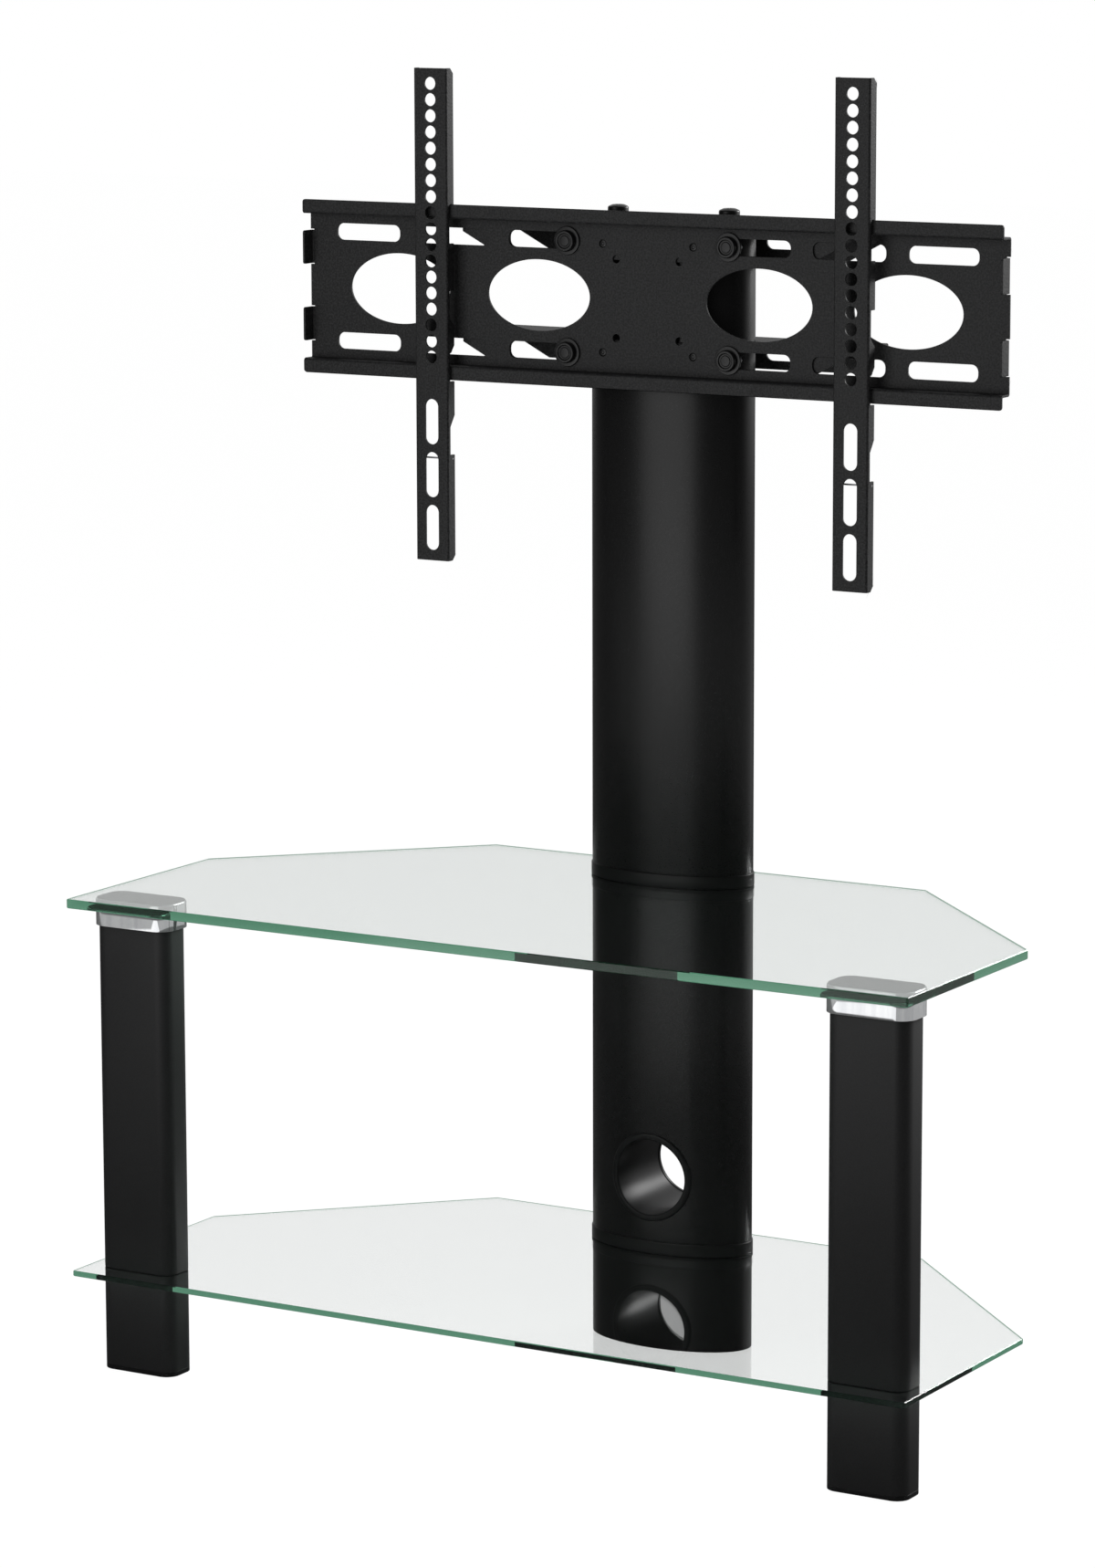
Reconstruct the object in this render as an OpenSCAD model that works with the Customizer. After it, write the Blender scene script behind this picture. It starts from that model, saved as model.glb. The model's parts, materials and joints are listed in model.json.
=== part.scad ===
// Television stand: two glass shelves on two front legs and an elliptical column, which carries
// a slotted mount plate with two arms that hang on its lips and slide along it.
// X runs across the stand, Y from the front to the back, Z up from the floor.

/* [Shelves] */
// Width of both glass shelves at the front
shelf_w = 800; // [740:10:900]
// Depth of both glass shelves
shelf_d = 400; // [390:5:440]
// Width of the shelves' back edge
shelf_back_w = 430; // [360:10:520]
// Depth of the straight sides, from the front edge to the slanted corners
shelf_side_d = 215; // [160:5:260]
// Radius of the shelves' corners
shelf_corner_r = 10; // [4:1:20]
// Thickness of the top glass
top_glass_t = 8; // [6:1:12]
// Thickness of the lower glass
lower_glass_t = 5; // [4:1:8]
// Height of the top glass's upper face above the floor
top_shelf_z = 415; // [380:5:480]
// Height of the lower glass's upper face above the floor
lower_shelf_z = 90; // [80:2:110]

/* [Legs] */
// Width of a leg
leg_w = 73; // [64:1:80]
// Depth of a leg
leg_d = 36.5; // [34:0.5:44]
// Corner radius of a leg
leg_r = 12; // [8:0.5:15]
// Wall of the leg tubes
leg_wall = 1.5; // [1:0.25:2.5]
// Distance from the shelf's side edge to the leg
leg_side_inset = 12; // [6:1:40]
// Distance from the shelf's front edge to the leg
leg_front_inset = 23.5; // [12:0.5:40]
// Height of the plug's foot under a leg
foot_h = 4; // [3:0.5:8]
// Height of the polished cap under the top glass
cap_h = 17; // [14:0.5:24]
// How far the cap stands out round the leg
cap_proud = 2.75; // [2:0.25:5]
// Bevel round the cap's top edge
cap_bevel = 1.5; // [0.5:0.25:2]
// Diameter of the tie rod in each leg
leg_rod_dia = 8; // [6:1:10]

/* [Column] */
// Width of the column across the stand
column_w = 153; // [145:1:170]
// Depth of the column
column_d = 81; // [76:1:95]
// Wall of the column's tubes
column_wall = 2; // [1.5:0.25:3]
// Distance from the shelf's back edge to the column
column_back_inset = 20; // [12:1:40]
// Gap between the column and the floor
column_floor_gap = 4.5; // [3:0.5:8]
// Height of the top of the column's upper tube
column_top_z = 986; // [980:1:1100]
// Height of a collar above its glass
collar_h = 11; // [8:0.5:20]
// Height of the seat ring's edge below its glass
seat_h = 2.5; // [1.5:0.5:5]
// How far collars and seat rings stand out round the column
collar_proud = 0.9; // [0.5:0.1:3]
// Diameter of the tie rods in the column
column_rod_dia = 10; // [8:1:12]
// Distance between the column's two tie rods
column_rod_pitch = 108; // [100:1:112]
// Diameter of the screws' heads on the column's lid
top_head_dia = 18; // [14:1:20]
// Height of the screws' heads on the column's lid
top_head_h = 6; // [4:0.5:8]

/* [Cable hole] */
// Diameter of the way through the column for cables
cable_bore_dia = 70; // [50:1:74]
// Outer diameter of the liner's rim
cable_rim_dia = 77; // [76:1:84]
// Height of the cable hole above the lower glass
cable_hole_rise = 67.5; // [60:0.5:120]

/* [Mount plate] */
// Width of the mount plate
plate_w = 676; // [600:2:700]
// Height of the mount plate over both lips
plate_h = 150.5; // [144:0.5:160]
// Height of the plate's middle above the floor
plate_z = 918; // [880:1:940]
// Height of each lip
lip_h = 12.3; // [10:0.1:14]
// Depth from the front of the lips to the front of the web
lip_depth = 13; // [12:0.25:15]
// Thickness of the plate's and the arms' steel sheet
sheet_t = 2; // [1.5:0.25:2.25]
// Height of the slots
slot_h = 14.4; // [12.4:0.2:16]
// Distance between the two rows of slots
slot_row_pitch = 94.8; // [92:0.2:98]
// Half the width of an elliptical window
window_rx = 50.3; // [40:0.5:56]
// Half the height of an elliptical window
window_rz = 30.5; // [20:0.5:34]
// Height of the bent tabs at the plate's ends
tab_h = 29; // [20:1:34]

/* [Rails] */
// Width of the cross rails
rail_w = 367.5; // [340:1:400]
// Height of the cross rails
rail_h = 27.3; // [25:0.1:30]
// Distance between the bolts across the plate
plate_bolt_pitch = 156; // [150:1:180]
// Diameter of the plate bolts' thread
plate_bolt_dia = 8; // [6:1:10]
// Diameter of the plate bolts' heads
plate_head_dia = 18.4; // [15:0.2:20]
// Height of the plate bolts' heads
plate_head_h = 4.5; // [3:0.25:5]
// Diameter of the plate bolts' washers
washer_dia = 24.4; // [20:0.2:26]
// Thickness of the plate bolts' washers
washer_t = 2; // [1:0.25:2.5]

/* [Arms] */
// Length of an arm
arm_len = 423; // [410:1:520]
// Height of an arm's top end above the plate's middle
arm_rise = 191; // [180:1:260]
// Width of an arm
arm_w = 33; // [30:0.5:40]
// Depth of an arm's side flanges
arm_d = 11.4; // [11:0.1:12]
// Distance of each arm from the stand's middle
arm_x = 203; // [60:1:290]
// Diameter of an arm's round holes
arm_hole_dia = 11; // [8:0.5:12]
// Distance between an arm's round holes
arm_hole_pitch = 13.75; // [13.5:0.25:16]
// Width of an arm's long slots
arm_slot_w = 13; // [10:0.5:16]
// Length of an arm's long slots
arm_slot_len = 39.2; // [30:0.2:42]
// Distance between an arm's long slots
arm_slot_pitch = 45.9; // [44:0.1:52]

/* [Hidden] */

// Fineness of round shapes
$fn = 72;
// Steps round each corner of the glass
corner_steps = 8;
// Steps round an ellipse
ellipse_steps = 96;
// Overrun of cuts
over = 1;
// Clearance of pieces that fit in one another
fit_gap = 0.2;
// Clearance of pieces that slide past one another
slide_gap = 0.3;
// The two sides of the stand
sides = [-1, 1];

// Levels of the glass shelves
top_glass_z = top_shelf_z - top_glass_t;
lower_glass_z = lower_shelf_z - lower_glass_t;
shelf_front_y = -shelf_d / 2;
shelf_back_y = shelf_d / 2;

// Legs
leg_x = shelf_w / 2 - leg_side_inset - leg_w / 2;
leg_y = shelf_front_y + leg_front_inset + leg_d / 2;
plug_depth = 12;
plug_bore_clear = 0.5;
cap_roof = 4;
cap_rod_reach = 2;
cap_base_z = top_glass_z - cap_h;
leg_top_z = top_glass_z - cap_roof;
pad_w = 44;
pad_d = 16;
pad_t = 1.5;
leg_nut_across = 13;
leg_nut_h = 6.5;
nut_room_dia = 20;
nut_floor = 0.5;
rod_hole_clear = 1.5;

// Column
column_rx = column_w / 2;
column_ry = column_d / 2;
column_y = shelf_back_y - column_back_inset - column_ry;
column_front_y = column_y - column_ry;
column_back_y = column_y + column_ry;
ring_bearing = 8;
ring_wall = 3;
spigot_h = 12;
base_flange_t = 3;
base_boss_t = 5;
glide_dia = 22;
glide_pitch_x = 84;
glide_pitch_y = 30;
lid_t = 2.5;
lid_spigot_h = 8;
column_rod_x = column_rod_pitch / 2;
top_thread_dia = 6;
top_thread_len = 22;
cross_w = 2.4;
cross_len = 9;
cross_depth = 3;
top_head_edge = 3;

// Cable hole
cable_z = lower_shelf_z + cable_hole_rise;
liner_wall = 1.75;
liner_rim_proud = 1.2;

// Mount plate, from the rails forward
rail_t = 2;
rail_front_y = column_front_y - rail_t;
web_y = rail_front_y - sheet_t;
lip_y = web_y - lip_depth;
plate_top_z = plate_z + plate_h / 2;
lip_r = 2.5;
bend_r = 2.8;
flange_rise = plate_h / 2 - lip_h;
slot_row_z = slot_row_pitch / 2;
slot_spans = [[68.2, 136.4], [157.2, 225.2], [246, 310.2]];
slot_r = 6;
window_x = [106.7, 246];
tab_row_z = 33.4;
tab_r = 2;
tab_relief = 1.6;
screw_x = 43.7;
screw_row_z = 46;
screw_hole_dia = 7;
screw_head_dia = 6.4;
screw_thread_dia = 4;
screw_reach = 5;
vent_x = 30.5;
vent_dia = 7;

// Rails
rail_rise = 12.6;
rail_corner_drop = 19;
rail_corner_run = 36.9;
rail_slot_inner = 68.2;
rail_slot_outer = 136.4;
plate_nut_across = 13;
plate_nut_h = 6.5;
plate_bolt_past = 3;
plate_head_edge = 1.2;
plate_boss_dia = 9.2;
plate_boss_drop = 0.4;
plate_groove_dia = 13;
plate_groove_depth = 1.2;

// Arms
arm_stand_off = 6.2;
arm_y = lip_y - arm_stand_off;
arm_z = plate_z + arm_rise - arm_len;
arm_top_z = arm_z + arm_len;
arm_bend_r = 2;
arm_corner = 4.5;
arm_hole_count = 18;
arm_first_hole = 13;
arm_slot_count = 3;
arm_last_slot = 28.6;
notch_d = 4.4;
hook_nose_t = 2.7;
hook_nose_drop = 9.5;
grip_top = 41.8;
grip_low = 1.5;
relief_low = 22.4;
relief_slope = 6.5;
toe_low = 45.7;
toe_slope = 6.4;
toe_d = 6;
tail_high = 76.6;
tail_low = 105.9;
tail_slope = 10;
tail_gap_low = 140;
pin_dia = 1.5;
pin_drop = 143.5;
pin_d = 8.2;

// Colours
glass = [0.78, 0.90, 0.86, 0.45];
satin_black = [0.10, 0.10, 0.11];
powder_black = [0.14, 0.14, 0.15];
plastic_black = [0.06, 0.06, 0.06];
chrome = [0.80, 0.81, 0.83];
zinc = [0.62, 0.64, 0.66];
dark_screw = [0.16, 0.16, 0.17];
rubber = [0.20, 0.20, 0.20];

// Outlines

// Points of a rounded corner at p, between the directions to the points before and after it
function corner_points(p, before, after, r) =
    let(
        u = (before - p) / norm(before - p),
        v = (after - p) / norm(after - p),
        half_angle = acos(u * v) / 2,
        bisector = (u + v) / norm(u + v),
        centre = p + bisector * r / sin(half_angle),
        start = p + u * r / tan(half_angle) - centre,
        stop = p + v * r / tan(half_angle) - centre,
        a0 = atan2(start[1], start[0]),
        turn = atan2(stop[1], stop[0]) - a0,
        sweep = turn > 180 ? turn - 360 : (turn < -180 ? turn + 360 : turn)
    )
    [for (i = [0 : corner_steps])
        centre + r * [cos(a0 + sweep * i / corner_steps), sin(a0 + sweep * i / corner_steps)]];

// An outline with all its corners rounded
function rounded(points, r) =
    [for (i = [0 : len(points) - 1])
        each corner_points(
            points[i],
            points[(i + len(points) - 1) % len(points)],
            points[(i + 1) % len(points)],
            r
        )];

shelf_outline = [
    [-shelf_w / 2, shelf_front_y],
    [shelf_w / 2, shelf_front_y],
    [shelf_w / 2, shelf_front_y + shelf_side_d],
    [shelf_back_w / 2, shelf_back_y],
    [-shelf_back_w / 2, shelf_back_y],
    [-shelf_w / 2, shelf_front_y + shelf_side_d]
];

// A rectangle round the origin with true round corners
module round_rect(w, d, r) {
    square([w - 2 * r, d], center = true);
    square([w, d - 2 * r], center = true);
    for (x = sides, y = sides)
        translate([x * (w / 2 - r), y * (d / 2 - r)]) circle(r = r);
}

// A slot with round ends round the origin
module round_slot(w, h) {
    square([w - h, h], center = true);
    for (x = sides)
        translate([x * (w - h) / 2, 0]) circle(d = h);
}

// The leg's section, grown or shrunk all round
module leg_section(grow) {
    round_rect(leg_w + 2 * grow, leg_d + 2 * grow, leg_r + grow);
}

// An ellipse round the origin, from its half width and half height
module ellipse(rx, ry) {
    polygon([for (i = [0 : ellipse_steps - 1])
        [rx * cos(360 * i / ellipse_steps), ry * sin(360 * i / ellipse_steps)]]);
}

// The column's section, grown or shrunk all round
module column_section(grow) {
    translate([0, column_y])
        ellipse(column_rx + grow, column_ry + grow);
}

module column_ring(z, h, outer, inner) {
    translate([0, 0, z])
        linear_extrude(h)
            difference() {
                column_section(outer);
                column_section(inner);
            }
}

// A hexagon prism standing on z = 0
module hex_prism(across, h) {
    cylinder(h = h, d = across / cos(30), $fn = 6);
}

// A round head standing on z = 0, with a rounded upper rim
module round_head(d, h, edge) {
    rotate_extrude() {
        square([d / 2 - edge, h]);
        square([d / 2, h - edge]);
        translate([d / 2 - edge, h - edge])
            circle(r = edge);
    }
}

// Lays a flat shape up in the plane that faces the viewer, from y on, t thick
module upright(y, t) {
    translate([0, y + t, 0])
        rotate([90, 0, 0])
            linear_extrude(t)
                children();
}

// A round bar along Y
module bar_y(y, len, d) {
    translate([0, y, 0])
        rotate([-90, 0, 0])
            cylinder(h = len, d = d);
}

// Shelves

module shelf(z, t) {
    translate([0, 0, z])
        difference() {
            linear_extrude(t)
                polygon(rounded(shelf_outline, shelf_corner_r));
            translate([0, 0, -over])
                linear_extrude(t + 2 * over)
                    column_section(-ring_bearing);
        }
}

module top_shelf() {
    color(glass)
        shelf(top_glass_z, top_glass_t);
}

module lower_shelf() {
    color(glass)
        difference() {
            shelf(lower_glass_z, lower_glass_t);
            for (side = sides)
                translate([side * leg_x, leg_y, lower_glass_z - over])
                    cylinder(h = lower_glass_t + 2 * over, d = leg_rod_dia + 2 * rod_hole_clear);
        }
}

// Legs

module leg_tube_at(side, z0, z1) {
    color(satin_black)
        translate([side * leg_x, leg_y, z0])
            linear_extrude(z1 - z0)
                difference() {
                    leg_section(0);
                    leg_section(-leg_wall);
                }
}

module left_leg_tube() {
    leg_tube_at(-1, lower_shelf_z, leg_top_z);
}

module right_leg_tube() {
    leg_tube_at(1, lower_shelf_z, leg_top_z);
}

module left_foot_tube() {
    leg_tube_at(-1, foot_h, lower_glass_z);
}

module right_foot_tube() {
    leg_tube_at(1, foot_h, lower_glass_z);
}

// Plug that closes a leg at the floor, with a room for the nut under the tie rod
module foot_plug(side) {
    color(plastic_black)
        translate([side * leg_x, leg_y, 0])
            difference() {
                union() {
                    linear_extrude(foot_h)
                        leg_section(0);
                    linear_extrude(foot_h + plug_depth)
                        leg_section(-leg_wall - fit_gap);
                }
                translate([0, 0, -over])
                    cylinder(h = nut_floor + leg_nut_h + over, d = nut_room_dia);
                translate([0, 0, -over])
                    cylinder(h = foot_h + plug_depth + 2 * over, d = leg_rod_dia + plug_bore_clear);
            }
}

module left_foot_plug() {
    foot_plug(-1);
}

module right_foot_plug() {
    foot_plug(1);
}

// Polished cap: a cup over the leg's top end, with a bevelled roof that the glass rests on
module leg_cap(side) {
    color(chrome)
        translate([side * leg_x, leg_y, cap_base_z])
            difference() {
                hull() {
                    linear_extrude(cap_h - cap_bevel)
                        leg_section(cap_proud);
                    linear_extrude(cap_h)
                        leg_section(cap_proud - cap_bevel);
                }
                translate([0, 0, -over])
                    linear_extrude(cap_h - cap_roof + over)
                        leg_section(fit_gap);
                translate([0, 0, cap_h - pad_t])
                    linear_extrude(pad_t + over)
                        round_slot(pad_w, pad_d);
                cylinder(h = cap_h - cap_roof + cap_rod_reach, d = leg_rod_dia + fit_gap);
            }
}

module left_leg_cap() {
    leg_cap(-1);
}

module right_leg_cap() {
    leg_cap(1);
}

// Soft pads let into the caps' roofs, flush under the glass
module cap_pads() {
    color(rubber)
        for (side = sides)
            translate([side * leg_x, leg_y, top_glass_z - pad_t])
                linear_extrude(pad_t)
                    round_slot(pad_w - fit_gap, pad_d - fit_gap);
}

// Plugs in the tubes' ends over and under the lower glass
module leg_end_plugs() {
    color(plastic_black)
        for (side = sides, z = [lower_glass_z - plug_depth, lower_shelf_z])
            translate([side * leg_x, leg_y, z])
                linear_extrude(plug_depth)
                    difference() {
                        leg_section(-leg_wall - fit_gap);
                        circle(d = leg_rod_dia + plug_bore_clear);
                    }
}

module leg_tie_rods() {
    color(zinc)
        for (side = sides)
            translate([side * leg_x, leg_y, nut_floor])
                cylinder(h = leg_top_z + cap_rod_reach - nut_floor, d = leg_rod_dia);
}

module leg_nuts() {
    color(zinc)
        for (side = sides)
            translate([side * leg_x, leg_y, nut_floor])
                difference() {
                    hex_prism(leg_nut_across, leg_nut_h);
                    translate([0, 0, -over])
                        cylinder(h = leg_nut_h + 2 * over, d = leg_rod_dia + fit_gap);
                }
}

// Column

module column_lower_tube() {
    color(satin_black)
        column_ring(
            column_floor_gap + base_flange_t,
            lower_glass_z - seat_h - column_floor_gap - base_flange_t,
            0,
            -column_wall
        );
}

module column_middle_tube() {
    z0 = lower_shelf_z + collar_h;
    z1 = top_glass_z - seat_h;
    color(satin_black)
        difference() {
            column_ring(z0, z1 - z0, 0, -column_wall);
            translate([0, 0, cable_z])
                bar_y(
                    column_front_y - over,
                    column_d + 2 * over,
                    cable_bore_dia + 2 * liner_wall + fit_gap
                );
        }
}

module column_upper_tube() {
    z0 = top_shelf_z + collar_h;
    color(satin_black)
        difference() {
            column_ring(z0, column_top_z - z0, 0, -column_wall);
            for (x = sides, z = sides)
                translate([x * screw_x, 0, plate_z + z * screw_row_z])
                    bar_y(column_front_y - over, column_ry + over, screw_thread_dia + fit_gap);
        }
}

// Ring under a glass shelf: an edge that the glass lies on, a hub through it, a spigot below
module seat_ring(z, t) {
    color(plastic_black) {
        column_ring(z - seat_h, seat_h, collar_proud, -ring_bearing - ring_wall);
        column_ring(z, t, -ring_bearing - fit_gap, -ring_bearing - ring_wall);
        column_ring(
            z - seat_h - spigot_h,
            spigot_h,
            -column_wall - fit_gap,
            -column_wall - fit_gap - ring_wall
        );
    }
}

module lower_seat_ring() {
    seat_ring(lower_glass_z, lower_glass_t);
}

module upper_seat_ring() {
    seat_ring(top_glass_z, top_glass_t);
}

// Collar on a glass shelf: a ring round the hub's top with a spigot up into the next tube
module collar(z) {
    color(plastic_black) {
        column_ring(z, collar_h, collar_proud, -ring_bearing - ring_wall);
        column_ring(
            z + collar_h,
            spigot_h,
            -column_wall - fit_gap,
            -column_wall - fit_gap - ring_wall
        );
    }
}

module lower_collar() {
    collar(lower_shelf_z);
}

module upper_collar() {
    collar(top_shelf_z);
}

// Saddle-shaped rim that follows the column's skin, front or back
module liner_rim(y, depth, bore) {
    intersection() {
        translate([0, 0, cable_z])
            difference() {
                bar_y(y, depth, cable_rim_dia);
                bar_y(y - over, depth + 2 * over, bore);
            }
        translate([0, 0, cable_z - cable_rim_dia])
            linear_extrude(2 * cable_rim_dia)
                difference() {
                    column_section(liner_rim_proud);
                    column_section(0);
                }
    }
}

// Liner through the column, with its rim in front
module cable_liner() {
    liner_dia = cable_bore_dia + 2 * liner_wall;
    color(plastic_black) {
        liner_rim(column_front_y - 2 * liner_rim_proud, column_ry, cable_bore_dia);
        intersection() {
            translate([0, 0, cable_z])
                difference() {
                    bar_y(column_front_y - over, column_d + 2 * over, liner_dia);
                    bar_y(column_front_y - 2 * over, column_d + 4 * over, cable_bore_dia);
                }
            translate([0, 0, cable_z - cable_rim_dia])
                linear_extrude(2 * cable_rim_dia)
                    column_section(0);
        }
    }
}

// Ring that holds the liner at the back
module liner_ring() {
    color(plastic_black)
        liner_rim(column_y, column_ry + 2 * liner_rim_proud, cable_bore_dia);
}

// Plate that closes the column at the bottom; the tie rods screw into it
module column_base_plate() {
    color(powder_black)
        translate([0, 0, column_floor_gap])
            difference() {
                union() {
                    linear_extrude(base_flange_t)
                        column_section(0);
                    linear_extrude(base_flange_t + base_boss_t)
                        column_section(-column_wall - fit_gap);
                }
                for (side = sides)
                    translate([side * column_rod_x, column_y, -over])
                        cylinder(
                            h = base_flange_t + base_boss_t + 2 * over,
                            d = column_rod_dia + fit_gap
                        );
            }
}

module column_glides() {
    color(rubber)
        for (x = sides, y = sides)
            translate([x * glide_pitch_x / 2, column_y + y * glide_pitch_y / 2, 0])
                cylinder(h = column_floor_gap, d = glide_dia);
}

module column_lid() {
    color(satin_black)
        difference() {
            union() {
                translate([0, 0, column_top_z])
                    linear_extrude(lid_t)
                        column_section(0);
                translate([0, 0, column_top_z - lid_spigot_h])
                    linear_extrude(lid_spigot_h)
                        column_section(-column_wall - fit_gap);
            }
            for (side = sides) {
                translate([side * column_rod_x, column_y, column_top_z - lid_spigot_h - over])
                    cylinder(
                        h = lid_spigot_h + lid_t + 2 * over,
                        d = top_thread_dia + fit_gap
                    );
            }
        }
}

// Rods down the column, tapped at the top for the lid's screws
module column_tie_rods() {
    rod_top = column_top_z - lid_spigot_h;
    color(zinc)
        for (side = sides)
            translate([side * column_rod_x, column_y, column_floor_gap])
                difference() {
                    cylinder(h = rod_top - column_floor_gap, d = column_rod_dia);
                    translate([0, 0, rod_top - column_floor_gap - top_thread_len])
                        cylinder(h = top_thread_len + over, d = top_thread_dia + fit_gap);
                }
}

// Pan-headed screws with a cross recess, which draw the lid and the whole column together
module top_screws() {
    seat_z = column_top_z + lid_t;
    shank = lid_t + lid_spigot_h + top_thread_len - over;
    color(dark_screw)
        for (side = sides)
            translate([side * column_rod_x, column_y, seat_z])
                difference() {
                    union() {
                        round_head(top_head_dia, top_head_h, top_head_edge);
                        translate([0, 0, -shank])
                            cylinder(h = shank, d = top_thread_dia);
                    }
                    for (turn = [0, 90])
                        translate([0, 0, top_head_h - cross_depth / 2 + over / 2])
                            rotate([0, 0, turn])
                                cube([cross_len, cross_w, cross_depth + over], center = true);
                }
}

// Rails

// One upright wall of a rail, with its lower corners cut off, a slot and a screw hole each side
module rail_wall(y, screw_z) {
    top = rail_rise;
    bottom = rail_rise - rail_h;
    upright(y, rail_t)
        difference() {
            polygon([
                [-rail_w / 2, top],
                [rail_w / 2, top],
                [rail_w / 2, bottom + rail_corner_drop],
                [rail_w / 2 - rail_corner_run, bottom],
                [-rail_w / 2 + rail_corner_run, bottom],
                [-rail_w / 2, bottom + rail_corner_drop]
            ]);
            for (side = sides) {
                translate([side * (rail_slot_inner + rail_slot_outer) / 2, 0])
                    round_rect(rail_slot_outer - rail_slot_inner, slot_h, slot_r);
                translate([side * screw_x, screw_z])
                    circle(d = screw_thread_dia + fit_gap);
            }
        }
}

// Channel open below, whose two walls hold the column between them
module rail(z, screw_z) {
    color(powder_black)
        translate([0, 0, z]) {
            rail_wall(rail_front_y, screw_z - z);
            rail_wall(column_back_y, screw_z - z);
            translate([0, 0, rail_rise - rail_t])
                linear_extrude(rail_t)
                    difference() {
                        translate([-rail_w / 2, rail_front_y])
                            square([rail_w, column_d + 2 * rail_t]);
                        column_section(fit_gap);
                    }
        }
}

module upper_rail() {
    rail(plate_z + slot_row_z, plate_z + screw_row_z);
}

module lower_rail() {
    rail(plate_z - slot_row_z, plate_z - screw_row_z);
}

// Screws through the rails' front walls into the column, their heads flush in the plate's holes
module rail_screws() {
    wall_y = column_y - column_ry * sqrt(1 - pow(screw_x / column_rx, 2));
    color(dark_screw)
        for (x = sides, z = sides)
            translate([x * screw_x, 0, plate_z + z * screw_row_z]) {
                bar_y(web_y, sheet_t, screw_head_dia);
                bar_y(rail_front_y, wall_y + screw_reach - rail_front_y, screw_thread_dia);
            }
}

// Mount plate

// Slots, windows and small holes of the web
module web_openings() {
    for (x = sides) {
        for (z = sides, span = slot_spans)
            translate([x * (span[0] + span[1]) / 2, plate_z + z * slot_row_z])
                round_rect(span[1] - span[0], slot_h, slot_r);
        for (wx = window_x)
            translate([x * wx, plate_z])
                ellipse(window_rx, window_rz);
        for (z = sides) {
            translate([x * screw_x, plate_z + z * screw_row_z])
                circle(d = screw_hole_dia);
            translate([x * vent_x, plate_z + z * tab_row_z])
                circle(d = vent_dia);
        }
    }
}

// Section of a right-angled bend in the sheet, round the origin
module bend() {
    difference() {
        intersection() {
            circle(r = bend_r);
            square(bend_r);
        }
        circle(r = bend_r - sheet_t);
    }
}

// Puts a shape made round the plate's middle height at the plate, turned over for the lower edge
module at_plate_edge(up) {
    translate([0, 0, plate_z])
        if (up > 0) {
            children();
        } else {
            mirror([0, 0, 1])
                children();
        }
}

// Flange that runs forward from an edge of the web, with the bends to the web and to the lip
module flange(up) {
    color(powder_black)
        at_plate_edge(up)
            translate([-plate_w / 2, 0, flange_rise])
                rotate([90, 0, 90])
                    linear_extrude(plate_w) {
                        translate([lip_y + bend_r, 0])
                            square([lip_depth + sheet_t - 2 * bend_r, sheet_t]);
                        translate([web_y + sheet_t - bend_r, sheet_t - bend_r])
                            bend();
                        translate([lip_y + bend_r, bend_r])
                            rotate(180)
                                bend();
                    }
}

module upper_flange() {
    flange(1);
}

module lower_flange() {
    flange(-1);
}

// Lip that the arms hang on or lie against, with rounded outer corners
module lip(up) {
    height = lip_h - bend_r;
    color(powder_black)
        at_plate_edge(up)
            translate([0, 0, flange_rise + bend_r])
                upright(lip_y, sheet_t) {
                    translate([-plate_w / 2, 0])
                        square([plate_w, height - lip_r]);
                    translate([-plate_w / 2 + lip_r, 0])
                        square([plate_w - 2 * lip_r, height]);
                    for (x = sides)
                        translate([x * (plate_w / 2 - lip_r), height - lip_r])
                            circle(r = lip_r);
                }
}

module upper_lip() {
    lip(1);
}

module lower_lip() {
    lip(-1);
}

// Tab at the right end, folded forward to stop an arm, with rounded front corners
module end_tab() {
    intersection() {
        translate([0, 0, -tab_h / 2])
            linear_extrude(tab_h) {
                translate([plate_w / 2 - bend_r, web_y + sheet_t - bend_r])
                    bend();
                translate([plate_w / 2 - sheet_t, lip_y])
                    square([sheet_t, lip_depth + sheet_t - bend_r]);
            }
        rotate([90, 0, 90])
            linear_extrude(plate_w)
                translate([lip_y + (lip_depth + sheet_t + tab_r) / 2, 0])
                    round_rect(lip_depth + sheet_t + tab_r, tab_h, tab_r);
    }
}

// Web of the pressed plate, with its end tabs and a relief over and under each tab's bend
module mount_plate() {
    web_half = flange_rise + sheet_t - bend_r;
    color(powder_black) {
        upright(web_y, sheet_t)
            difference() {
                translate([0, plate_z])
                    square([plate_w, 2 * web_half], center = true);
                web_openings();
                for (x = sides, z = sides)
                    translate([x * plate_w / 2, plate_z + z * tab_row_z]) {
                        square([2 * bend_r, tab_h], center = true);
                        for (edge = sides)
                            translate([0, edge * (tab_h + tab_relief) / 2])
                                square([2 * (bend_r + tab_relief), tab_relief], center = true);
                    }
            }
        for (z = sides)
            translate([0, 0, plate_z + z * tab_row_z]) {
                end_tab();
                mirror([1, 0, 0])
                    end_tab();
            }
    }
}

module at_plate_bolts() {
    for (x = sides, z = sides)
        translate([x * plate_bolt_pitch / 2, 0, plate_z + z * slot_row_z])
            children();
}

// Bolts through the plate's and the rails' slots, each with a groove round a lower middle
module plate_bolts() {
    head_y = web_y - washer_t - plate_head_h;
    tip_y = rail_front_y + rail_t + plate_nut_h + plate_bolt_past;
    color(dark_screw)
        at_plate_bolts() {
            difference() {
                translate([0, web_y - washer_t, 0])
                    rotate([90, 0, 0])
                        round_head(plate_head_dia, plate_head_h, plate_head_edge);
                bar_y(head_y - over, plate_boss_drop + over, plate_groove_dia);
                difference() {
                    bar_y(head_y - over, plate_groove_depth + over, plate_groove_dia);
                    bar_y(head_y - 2 * over, plate_groove_depth + 3 * over, plate_boss_dia);
                }
            }
            bar_y(web_y - washer_t, tip_y - web_y + washer_t, plate_bolt_dia);
        }
}

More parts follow.
